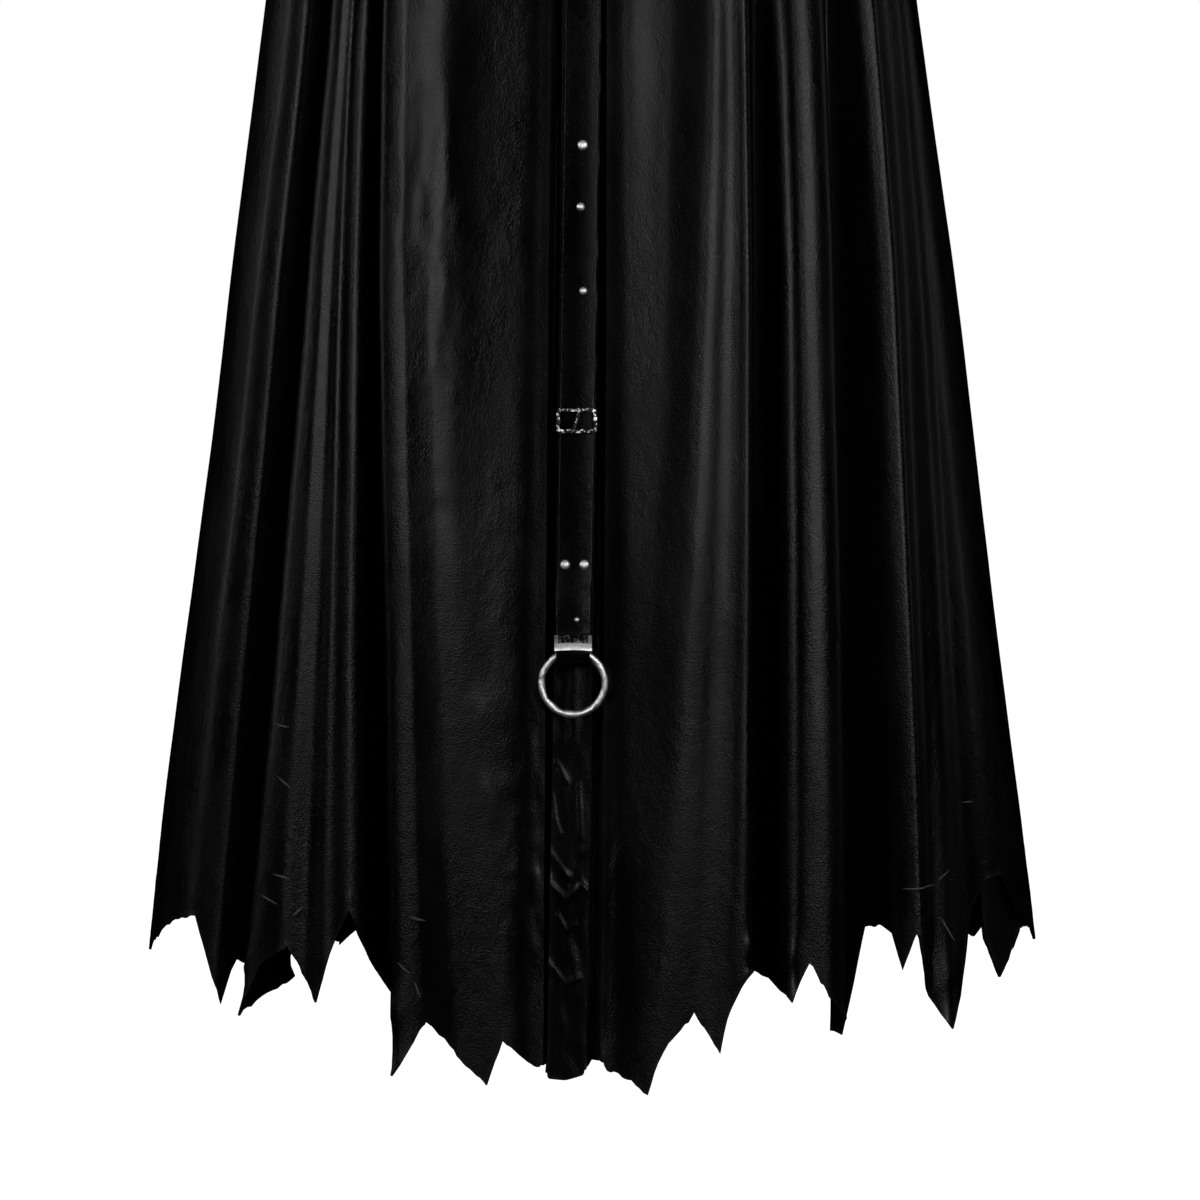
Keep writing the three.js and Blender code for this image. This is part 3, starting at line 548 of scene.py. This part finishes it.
def cloudy(material, scale, detail=5, roughness=0.55):
    vector = stretched(material, scale)
    inputs = {"Vector": vector, "Scale": 1, "Detail": detail, "Roughness": roughness}
    return add(material, "ShaderNodeTexNoise", inputs).outputs["Fac"]


def remap(material, value, low, high, to_low=0.0, to_high=1.0):
    inputs = {"Value": value, "From Min": low, "From Max": high, "To Min": to_low, "To Max": to_high}
    return add(material, "ShaderNodeMapRange", inputs).outputs["Result"]


def math_of(material, operation, a, b=0.0):
    return add(material, "ShaderNodeMath", {0: a, 1: b}, operation=operation).outputs[0]


def mix_colour(material, share, a, b):
    values = {"Factor_Float": share, "A_Color": a, "B_Color": b}
    made = add(material, "ShaderNodeMix", data_type="RGBA")
    for socket in made.inputs:
        if socket.identifier in values:
            link_or_set(material, socket, values[socket.identifier])
    return next(socket for socket in made.outputs if socket.identifier == "Result_Color")


def bump(material, height, distance, below=None):
    inputs = {"Height": height, "Distance": distance, "Strength": 1.0}
    if below is not None:
        inputs["Normal"] = below
    return add(material, "ShaderNodeBump", inputs).outputs["Normal"]


# %% [markdown]
# ## Short scratches
# A worn skirt has a few pale scratches near the hem, where it brushes past things. Each one is a long
# thin ellipse: a mapping brings it to a unit ball at its own place, and the distance from the middle
# gives its shape.

# %% Scratches
SCRATCHES = [
    {"x": -0.241, "height": 0.365, "length": 0.007, "lean": 5},
    {"x": -0.239, "height": 0.322, "length": 0.008, "lean": 34},
    {"x": -0.241, "height": 0.250, "length": 0.008, "lean": 8},
    {"x": -0.251, "height": 0.231, "length": 0.009, "lean": 22},
    {"x": -0.228, "height": 0.224, "length": 0.006, "lean": -42},
    {"x": -0.145, "height": 0.187, "length": 0.008, "lean": 40},
    {"x": -0.134, "height": 0.171, "length": 0.008, "lean": 70},
    {"x": -0.134, "height": 0.225, "length": 0.008, "lean": 12},
    {"x": 0.255, "height": 0.239, "length": 0.015, "lean": 0},
    {"x": 0.275, "height": 0.246, "length": 0.007, "lean": -38},
    {"x": 0.295, "height": 0.299, "length": 0.006, "lean": 2},
    {"x": 0.278, "height": 0.204, "length": 0.014, "lean": 60},
]
SCRATCH_WIDTH = 0.0008
SCRATCH_BACK = -0.20
SCRATCH_REACH = 0.16


def scratches_of(material):
    total = None
    coordinates = add(material, "ShaderNodeTexCoord")
    for row in SCRATCHES:
        inputs = {"Vector": coordinates.outputs["Object"],
                  "Location": (row["x"], SCRATCH_BACK, above_floor(row["height"])),
                  "Rotation": (0, math.radians(row["lean"]), 0),
                  "Scale": (row["length"], SCRATCH_REACH, SCRATCH_WIDTH)}
        local = add(material, "ShaderNodeMapping", inputs, vector_type="TEXTURE").outputs[0]
        reach = add(material, "ShaderNodeVectorMath", {0: local}, operation="LENGTH").outputs["Value"]
        mark = remap(material, reach, 1.0, 0.55)
        total = mark if total is None else math_of(material, "MAXIMUM", total, mark)
    return total


# %% [markdown]
# ## Black leather
# The panels and the straps share one finish. Gloss varies in soft patches, a cell texture gives the
# grain, and the rim, the scuffs and the scratches are laid over the colour. Only the panels carry
# scratches.

# %% Black leather
SCRATCHED = (0.14, 0.14, 0.14, 1)
GRAIN_SCALE = (760, 760, 760)
GRAIN_DEPTH = 0.00018
PUCKER_DEPTH = 0.0006
SCUFF_STRENGTH = 0.2
RIM_FALLOFF = 2.0


def leather_material(name, dark, light, gloss, worn, scratched):
    material = new_material(name)
    mottle = remap(material, cloudy(material, (22, 22, 9)), 0.36, 0.66)
    streaks = remap(material, cloudy(material, (70, 70, 5), detail=3), 0.35, 0.7)
    patches = math_of(material, "MULTIPLY", mottle, streaks)
    grain = add(material, "ShaderNodeTexVoronoi",
                {"Vector": stretched(material, GRAIN_SCALE), "Scale": 1.0}).outputs["Distance"]
    puckers = cloudy(material, (95, 95, 60), detail=4)
    scuffs = remap(material, cloudy(material, (240, 240, 30), detail=6, roughness=0.7), 0.66, 0.74)
    rim = add(material, "ShaderNodeAttribute", attribute_name="rim").outputs["Fac"]
    rim_wear = math_of(material, "MULTIPLY", math_of(material, "POWER", rim, RIM_FALLOFF),
                       remap(material, cloudy(material, (60, 60, 30)), 0.35, 0.65, 0.1, 0.6))
    wear = math_of(material, "MAXIMUM", rim_wear, math_of(material, "MULTIPLY", scuffs, SCUFF_STRENGTH))
    colour = mix_colour(material, patches, dark, light)
    colour = mix_colour(material, wear, colour, worn)
    if scratched:
        colour = mix_colour(material, scratches_of(material), colour, SCRATCHED)
    roughness = remap(material, mottle, 0, 1, gloss[0], gloss[1])
    normal = bump(material, grain, GRAIN_DEPTH)
    normal = bump(material, puckers, PUCKER_DEPTH, normal)
    shader = add(material, "ShaderNodeBsdfPrincipled",
                 {"Base Color": colour, "Roughness": roughness, "Normal": normal,
                  "Specular IOR Level": 0.16, "Coat Weight": 0.1, "Coat Roughness": 0.18})
    add(material, "ShaderNodeOutputMaterial", {"Surface": shader.outputs[0]})
    return material


black_leather = leather_material(
    "black_leather", dark=(0.0015, 0.0015, 0.0016, 1), light=(0.0045, 0.0045, 0.0046, 1),
    gloss=(0.24, 0.40), worn=(0.02, 0.02, 0.02, 1), scratched=True)
strap_leather = leather_material(
    "strap_leather", dark=(0.0015, 0.0014, 0.0014, 1), light=(0.0045, 0.0043, 0.0042, 1),
    gloss=(0.22, 0.36), worn=(0.02, 0.019, 0.018, 1), scratched=False)
for panel in panels:
    panel.data.materials.append(black_leather)
print("leather on", len(panels), "panels")

# %% [markdown]
# ## Polished steel
# The ring, the rivets and the keeper's lip are polished steel that has been handled: bright, with fine
# brushing and a few dull patches that break up the reflections. A thin clear coat adds the sharp glints.

# %% Polished steel
def steel_material():
    material = new_material("polished_steel")
    dull = remap(material, cloudy(material, (160, 160, 160)), 0.4, 0.7)
    fine = cloudy(material, (1400, 1400, 300), detail=2)
    roughness = remap(material, dull, 0, 1, 0.40, 0.62)
    colour = mix_colour(material, dull, (0.97, 0.96, 0.94, 1), (0.82, 0.81, 0.79, 1))
    normal = bump(material, cloudy(material, (330, 330, 330), detail=3), 0.0003)
    normal = bump(material, fine, 0.00003, normal)
    shader = add(material, "ShaderNodeBsdfPrincipled",
                 {"Base Color": colour, "Metallic": 1.0, "Roughness": roughness, "Normal": normal,
                  "Coat Weight": 1.0, "Coat Roughness": 0.12})
    add(material, "ShaderNodeOutputMaterial", {"Surface": shader.outputs[0]})
    return material


polished_steel = steel_material()
print("made", polished_steel.name)

# %% [markdown]
# ## Blackened steel, also used as painted shade
# The buckle and its prong are steel that was blackened. The black has worn off in small spots, and only
# those spots glint. The keeper's plate takes the same dark steel as painted shade.

# %% Blackened steel, also painted shade
def dark_steel_material():
    material = new_material("blackened_steel_and_painted_shade")
    worn = remap(material, cloudy(material, (420, 420, 420), detail=3), 0.52, 0.62)
    roughness = remap(material, worn, 0, 1, 0.5, 0.2)
    colour = mix_colour(material, worn, (0.02, 0.02, 0.02, 1), (0.8, 0.79, 0.77, 1))
    normal = bump(material, cloudy(material, (520, 520, 520), detail=3), 0.0006)
    shader = add(material, "ShaderNodeBsdfPrincipled",
                 {"Base Color": colour, "Metallic": 1.0, "Roughness": roughness, "Normal": normal})
    add(material, "ShaderNodeOutputMaterial", {"Surface": shader.outputs[0]})
    return material


blackened_steel_and_painted_shade = dark_steel_material()
print("made", blackened_steel_and_painted_shade.name)

# %% [markdown]
# ## The strip down the centre
# A narrow strip lies on the recessed panel from the neck to the hem. Below the ring it is crumpled into
# slanted and V-shaped ridges. The strip is one skin again, cut fine, and each ridge follows a short line
# of corners, given as x and height, with its rise in millimetres.

# %% Model the centre strip
STRIP_CREASES = [
    {"line": [(-0.0345, 0.268), (-0.0330, 0.256), (-0.0200, 0.243), (-0.0070, 0.254), (-0.0030, 0.249)],
     "rise": 1.9},
    {"line": [(-0.0320, 0.279), (-0.0180, 0.260)], "rise": 1.7},
    {"line": [(-0.0350, 0.291), (-0.0345, 0.268)], "rise": 1.2},
    {"line": [(-0.0300, 0.322), (-0.0280, 0.304), (-0.0245, 0.292)], "rise": 1.2},
    {"line": [(-0.0275, 0.348), (-0.0190, 0.333)], "rise": 1.2},
    {"line": [(-0.0260, 0.231), (-0.0195, 0.219), (-0.0130, 0.224)], "rise": 1.2},
    {"line": [(-0.0340, 0.196), (-0.0200, 0.178), (-0.0090, 0.184)], "rise": 1.1},
    {"line": [(-0.0080, 0.278), (-0.0030, 0.280), (0.0000, 0.272), (0.0015, 0.266)], "rise": 1.3},
    {"line": [(-0.0100, 0.330), (-0.0080, 0.290)], "rise": 0.8},
]
CREASE_WIDTH = 0.0021
MILLIMETRE = 0.001
STRIP_THICKNESS = 0.002
STRIP_ROW_HEIGHT = 0.009
STRIP_COLUMN = 0.01
STRIP_CUTS = 3
STRIP_RIPPLE = 0.0012
STRIP_SETBACK = 0.0004


def distance_to(point, start, end):
    along = end - start
    share = min(max((point - start).dot(along) / along.length_squared, 0), 1)
    return (point - start - along * share).length


def crease_depth(x, height):
    place = Vector((x, height))
    total = 0
    for crease in STRIP_CREASES:
        corners = [Vector(corner) for corner in crease["line"]]
        near = min(distance_to(place, a, b) for a, b in zip(corners, corners[1:]))
        total = max(total, MILLIMETRE * crease["rise"] * math.exp(-(near / CREASE_WIDTH) ** 2))
    return total


def model_strip():
    piece = copy_of("centre_strip", "centre_strip_leather")
    keep_outer_skin(piece, STRIP_THICKNESS)
    rows = grid_of(piece)
    dissolve_diagonals(piece, rows)
    cut_bands(piece, rows, STRIP_ROW_HEIGHT)
    corners = piece.data.vertices
    across = [edge.index for edge in piece.data.edges
              if abs(corners[edge.vertices[0]].co.x - corners[edge.vertices[1]].co.x) > STRIP_COLUMN]
    select_parts(piece, edges=across, mode="EDGE")
    edit(piece, bpy.ops.mesh.subdivide, number_cuts=STRIP_CUTS)
    apply_modifier(piece, "SUBSURF", levels=2, render_levels=2)
    points = points_of(piece)
    for i, point in enumerate(points):
        points[i, 1] -= crease_depth(point[0], point[2] + SEAT_HEIGHT)
        ripple = flat_noise(point[0], point[2], across=110, along=45, sheet=5.2)
        points[i, 1] -= STRIP_RIPPLE * ripple - STRIP_SETBACK
    move_points(piece, points)
    mark_rim(piece)
    give_thickness(piece, STRIP_THICKNESS)
    return piece


strip = model_strip()
strip.data.materials.append(strap_leather)
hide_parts("centre_strip")
print("centre strip faces:", len(strip.data.polygons))

# %% [markdown]
# ## Straps
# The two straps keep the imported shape. Their cut edges are bevelled, as a leatherworker bevels and
# burnishes them, and the bevel catches a thin line of light.

# %% Model the straps
def model_strap(node):
    piece = copy_of(node, node + "_leather")
    edit_all(piece, bpy.ops.mesh.tris_convert_to_quads,
             face_threshold=math.pi, shape_threshold=math.pi, topology_influence=2.0)
    edit_all(piece, bpy.ops.mesh.normals_make_consistent, inside=False)
    apply_modifier(piece, "BEVEL", width=0.0007, segments=2, limit_method="ANGLE",
                   angle_limit=math.radians(50))
    pick(piece)
    bpy.ops.object.shade_smooth_by_angle(angle=math.radians(40))
    piece.data.materials.append(strap_leather)
    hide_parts(node)
    return piece


straps = [model_strap(node) for node in ("upper_strap", "ring_strap")]
print("straps:", [strap.name for strap in straps])

# %% [markdown]
# ## The ring
# The ring is welded round wire. A torus primitive has exactly that shape; its wire is finely divided, a
# few flats are hammered into it by noise, and a low bead between two fine grooves marks the weld.

# %% Model the ring
RING_CENTRE = (ring_low + ring_high) / 2
RING_LEAN = math.atan2(RING_CENTRE.y - RING_HINGE.y, RING_HINGE.z - RING_CENTRE.z)
WELD_OFFSET = -0.0037
WELD_SEAMS = (-0.33, 0.02)
SEAM_WIDTH = 0.0003
SEAM_DEPTH = 0.0005
DENT_DEPTH = 0.0010
DENT_SCALE = 150
BEAD_RISE = 0.0006
BEAD_REACH = 0.0042


def model_ring():
    deselect_all()
    bpy.ops.mesh.primitive_torus_add(
        location=RING_CENTRE, rotation=(math.pi / 2 + RING_LEAN, 0, 0), major_segments=320,
        minor_segments=24, major_radius=RING_RADIUS, minor_radius=RING_WIRE)
    piece = bpy.context.object
    piece.name = "ring_steel"
    bpy.ops.object.transform_apply(location=True, rotation=True, scale=True)
    points = points_of(piece)
    dents = np.array([min(0, noise.noise(Vector(point) * DENT_SCALE)) for point in points])
    weld = RING_CENTRE + Vector((WELD_OFFSET, 0, -RING_RADIUS))
    bead = np.exp(-(np.linalg.norm(points - np.array(weld), axis=1) / BEAD_REACH) ** 4)
    turn = np.arctan2(points[:, 0] - RING_CENTRE.x, RING_CENTRE.z - points[:, 2])
    seams = sum(np.exp(-((turn - seam) * RING_RADIUS / SEAM_WIDTH) ** 2) for seam in WELD_SEAMS)
    rise = DENT_DEPTH * dents + BEAD_RISE * bead - SEAM_DEPTH * seams
    move_points(piece, points + normals_of(piece) * rise[:, None])
    bpy.ops.object.shade_smooth()
    return piece


ring = model_ring()
ring.data.materials.append(polished_steel)
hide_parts("swing_ring")
print("ring centre:", tuple(round(value, 4) for value in RING_CENTRE))

# %% [markdown]
# ## The keeper
# The keeper is a small steel clamp that holds the fold of the strap shut above the ring. It is cut into a
# fine grid, so that its lower edge can be rolled out to a bright lip with a slight arch. The plate above
# the lip is given the dark steel as painted shade, the lip and the two ends keep bright polished steel,
# and a bevel gives the edges the small round that a polishing wheel leaves.

# %% Model the keeper
KEEPER_CUTS = 10
LIP_HEIGHT = 0.0055
LIP_RISE = 0.0009
LIP_ARCH = 0.0008
ROW_MATCH = 0.0004
FRONT_MATCH = 0.0003
BRIGHT_END = 0.86
BRIGHT_HEIGHT = 1.1


def cut_grid(piece, low, high):
    for i in range(1, KEEPER_CUTS):
        share = i / KEEPER_CUTS
        height = low.z + share * (high.z - low.z)
        side = low.x + share * (high.x - low.x)
        edit_all(piece, bpy.ops.mesh.bisect, plane_co=(0, 0, height), plane_no=(0, 0, 1))
        edit_all(piece, bpy.ops.mesh.bisect, plane_co=(side, 0, 0), plane_no=(1, 0, 0))


def roll_lip(piece, low, middle, half):
    points = points_of(piece)
    for i, point in enumerate(points):
        same_row = abs(points[:, 2] - point[2]) < ROW_MATCH
        front = point[1] < points[same_row, 1].min() + FRONT_MATCH
        across = (point[0] - middle) / half
        above_lip = point[2] - low.z - LIP_HEIGHT / 2
        if front:
            points[i, 1] -= LIP_RISE * math.exp(-(above_lip / LIP_HEIGHT) ** 2)
        if above_lip < LIP_HEIGHT:
            points[i, 2] += LIP_ARCH * (1 - across * across)
    move_points(piece, points)


def model_keeper():
    low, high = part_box("strap_keeper")
    half = (high.x - low.x) / 2
    middle = (high.x + low.x) / 2
    piece = copy_of("strap_keeper", "strap_keeper_steel")
    edit_all(piece, bpy.ops.mesh.dissolve_limited, angle_limit=math.radians(1))
    cut_grid(piece, low, high)
    roll_lip(piece, low, middle, half)
    for material in (polished_steel, blackened_steel_and_painted_shade):
        piece.data.materials.append(material)
    # Painted shade: the plate's faces between the ends take the dark steel; the lip and the ends take
    # polished steel.
    for face in piece.data.polygons:
        near_end = abs(face.center.x - middle) > BRIGHT_END * half
        plate_in_painted_shade = face.center.z > low.z + LIP_HEIGHT * BRIGHT_HEIGHT
        face.material_index = 1 if plate_in_painted_shade and not near_end else 0
    apply_modifier(piece, "BEVEL", width=0.0003, segments=2, limit_method="ANGLE",
                   angle_limit=math.radians(40))
    pick(piece)
    bpy.ops.object.shade_smooth_by_angle(angle=math.radians(35))
    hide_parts("strap_keeper")
    return piece


keeper = model_keeper()
print("keeper faces:", len(keeper.data.polygons))

# %% [markdown]
# ## The buckle and its prong
# The buckle is a small frame of blackened steel, and its prong lies in the strap's hole. Both keep the
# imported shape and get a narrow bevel, because it is that round which catches the light.

# %% Model the buckle
def model_fitting(node, width, finish):
    piece = copy_of(node, node + "_steel")
    select_parts(piece)
    edit_all(piece, bpy.ops.mesh.dissolve_limited, angle_limit=math.radians(1))
    apply_modifier(piece, "BEVEL", width=width, segments=3, limit_method="ANGLE",
                   angle_limit=math.radians(30))
    pick(piece)
    bpy.ops.object.shade_smooth_by_angle(angle=math.radians(35))
    piece.data.materials.append(finish)
    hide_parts(node)
    return piece


fittings = [
    keeper,
    model_fitting("strap_buckle", 0.0005, blackened_steel_and_painted_shade),
    model_fitting("buckle_prong", 0.0004, blackened_steel_and_painted_shade),
]
print("fittings:", [fitting.name for fitting in fittings])

# %% [markdown]
# ## The rivets
# Each rivet has a low turned dome. A ball is pressed down to that height, its back is made flat, and it
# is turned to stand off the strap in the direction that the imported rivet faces.

# %% Model the rivets
RIVET_RISE = 0.0024
RIVET_BACK = 0.04


def dome_direction(node):
    back_faces = [face for face in frame["nodes"][node].data.polygons if face.normal.y > 0.5]
    return -max(back_faces, key=lambda face: face.area).normal


def model_rivet(node):
    low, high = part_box(node)
    centre = (low + high) / 2
    radius = (high.x - low.x) / 2
    normal = dome_direction(node)
    deselect_all()
    bpy.ops.mesh.primitive_uv_sphere_add(segments=32, ring_count=20, radius=radius, location=(0, 0, 0))
    piece = bpy.context.object
    piece.name = node + "_steel"
    points = points_of(piece)
    above = points[:, 2] > 0
    points[above, 2] *= RIVET_RISE / radius
    points[~above, 2] *= RIVET_BACK
    move_points(piece, points)
    turn = Vector((0, 0, 1)).rotation_difference(normal)
    base = centre - normal * (RIVET_RISE / 2)
    piece.data.transform(Matrix.Translation(base) @ turn.to_matrix().to_4x4())
    piece.data.update()
    pick(piece)
    bpy.ops.object.shade_smooth()
    piece.data.materials.append(polished_steel)
    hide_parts(node)
    return piece


rivets = [model_rivet(f"rivet_{i}") for i in range(1, 8)]
print("rivets:", len(rivets))

# %% [markdown]
# ## What moves with what
# Everything is fastened to the coat except the ring, which swings in the fold of the strap.

# %% Ride on the bodies
for piece in panels + [strip] + straps + fittings + rivets:
    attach(piece, "coat")
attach(ring, "ring")

# %% [markdown]
# ## Floor
# A pale floor under a white surround lets the dark outline stand clear. It doesn't show in reflections or
# light the leather, because gloss on black leather is drawn by what it mirrors.

# %% Floor
def pale_material():
    material = new_material("pale_paper")
    shader = add(material, "ShaderNodeBsdfPrincipled",
                 {"Base Color": (0.9, 0.9, 0.9, 1), "Roughness": 0.9, "Specular IOR Level": 0.1,
                  "Emission Color": (1, 1, 1, 1), "Emission Strength": 1.0})
    add(material, "ShaderNodeOutputMaterial", {"Surface": shader.outputs[0]})
    return material


deselect_all()
bpy.ops.mesh.primitive_plane_add(size=60, location=(0, 0, above_floor(0)))
floor = bpy.context.object
floor.name = "floor"
floor.visible_glossy = False
floor.visible_diffuse = False
floor.data.materials.append(pale_material())
print("floor at", round(above_floor(0), 3))

# %% [markdown]
# ## Soft lights
# Two tall soft boxes at the sides draw a long highlight down each fold, and a small one helps on the
# right. Two narrow ones beyond give the outline a thin rim, and boxes high up pick out the creases that
# face up. The room behind the camera stays dim, which keeps the valleys black.

# %% Soft lights
LIGHT_AIM = Vector((0, 0, -0.8))
LIGHTS = [
    {"name": "left_box", "place": (-3.0, -2.45, 0.5), "size": (1.2, 1.7), "power": 33},
    {"name": "right_box", "place": (2.55, -2.85, 0.40), "size": (1.2, 1.6), "power": 32},
    {"name": "front_right_box", "place": (1.5, -4.6, 1.2), "size": (0.7, 1.8), "power": 7},
    {"name": "left_rim_box", "place": (-3.6, 1.2, 0.2), "size": (0.6, 2.4), "power": 9},
    {"name": "right_rim_box", "place": (3.6, 1.2, 0.2), "size": (0.6, 2.4), "power": 4},
    {"name": "high_box", "place": (0, -4.2, 3.8), "size": (6.0, 0.8), "power": 9},
    {"name": "top_box", "place": (0, -0.5, 5.0), "size": (4.0, 4.0), "power": 8},
]


def add_light(row):
    data = bpy.data.lights.new(row["name"], "AREA")
    data.shape = "RECTANGLE"
    data.size, data.size_y = row["size"]
    data.energy = row["power"]
    light = bpy.data.objects.new(row["name"], data)
    light.location = row["place"]
    aim = LIGHT_AIM - light.location
    light.rotation_euler = aim.to_track_quat("-Z", "Y").to_euler()
    bpy.context.scene.collection.objects.link(light)
    return light


for row in LIGHTS:
    add_light(row)
print("lights:", [row["name"] for row in LIGHTS])

# %% [markdown]
# ## White surround
# The surround is plain white to the eye and isn't mirrored by the gloss, so that the blacks stay black.
# The standard view keeps the greys as they are lit.

# %% White surround
bpy.context.scene.view_settings.view_transform = "Standard"
world = bpy.data.worlds.new("studio")
world.use_nodes = True
world.node_tree.nodes["Background"].inputs["Color"].default_value = (1, 1, 1, 1)
world.node_tree.nodes["Background"].inputs["Strength"].default_value = 1.0
world.cycles_visibility.glossy = False
world.cycles_visibility.diffuse = False
bpy.context.scene.world = world
print("surround:", world.name)

# %% [markdown]
# ## Lights for some pieces only
# Bare steel mirrors the dark room as readily as the lights, so it would look grey from the front. A wide
# soft box near the camera is linked to the steel alone and leaves the leather dark. A high box is linked
# to the centre strip, whose ridges face up. Two boxes on the chest side are linked to the front panels,
# so that they show their folds and the back keeps its dark outline.

# %% Light the steel, the strip and the front panels
STEEL_LIGHT = {"name": "steel_box", "place": (0, -6.6, 0.6), "size": (5.0, 4.0), "power": 105}
STRIP_LIGHT = {"name": "strip_box", "place": (0, -4.2, 3.8), "size": (6.0, 0.8), "power": 17}
CHEST_LIGHTS = [
    {"name": "chest_left_box", "place": (-2.4, 3.4, 0.6), "size": (1.4, 2.4), "power": 95},
    {"name": "chest_right_box", "place": (2.4, 3.4, 0.6), "size": (1.4, 2.4), "power": 80},
]


def link_lights(rows, pieces, name):
    group = bpy.data.collections.new(name)
    for piece in pieces:
        group.objects.link(piece)
    for row in rows:
        add_light(row).light_linking.receiver_collection = group
    print(name, "have lights of their own:", len(rows))


link_lights([STEEL_LIGHT], [ring] + fittings + rivets, "steel_pieces")
link_lights([STRIP_LIGHT], [strip], "strip_pieces")
link_lights(CHEST_LIGHTS, [panel for panel in panels if panel.name.startswith("front")], "front_panels")
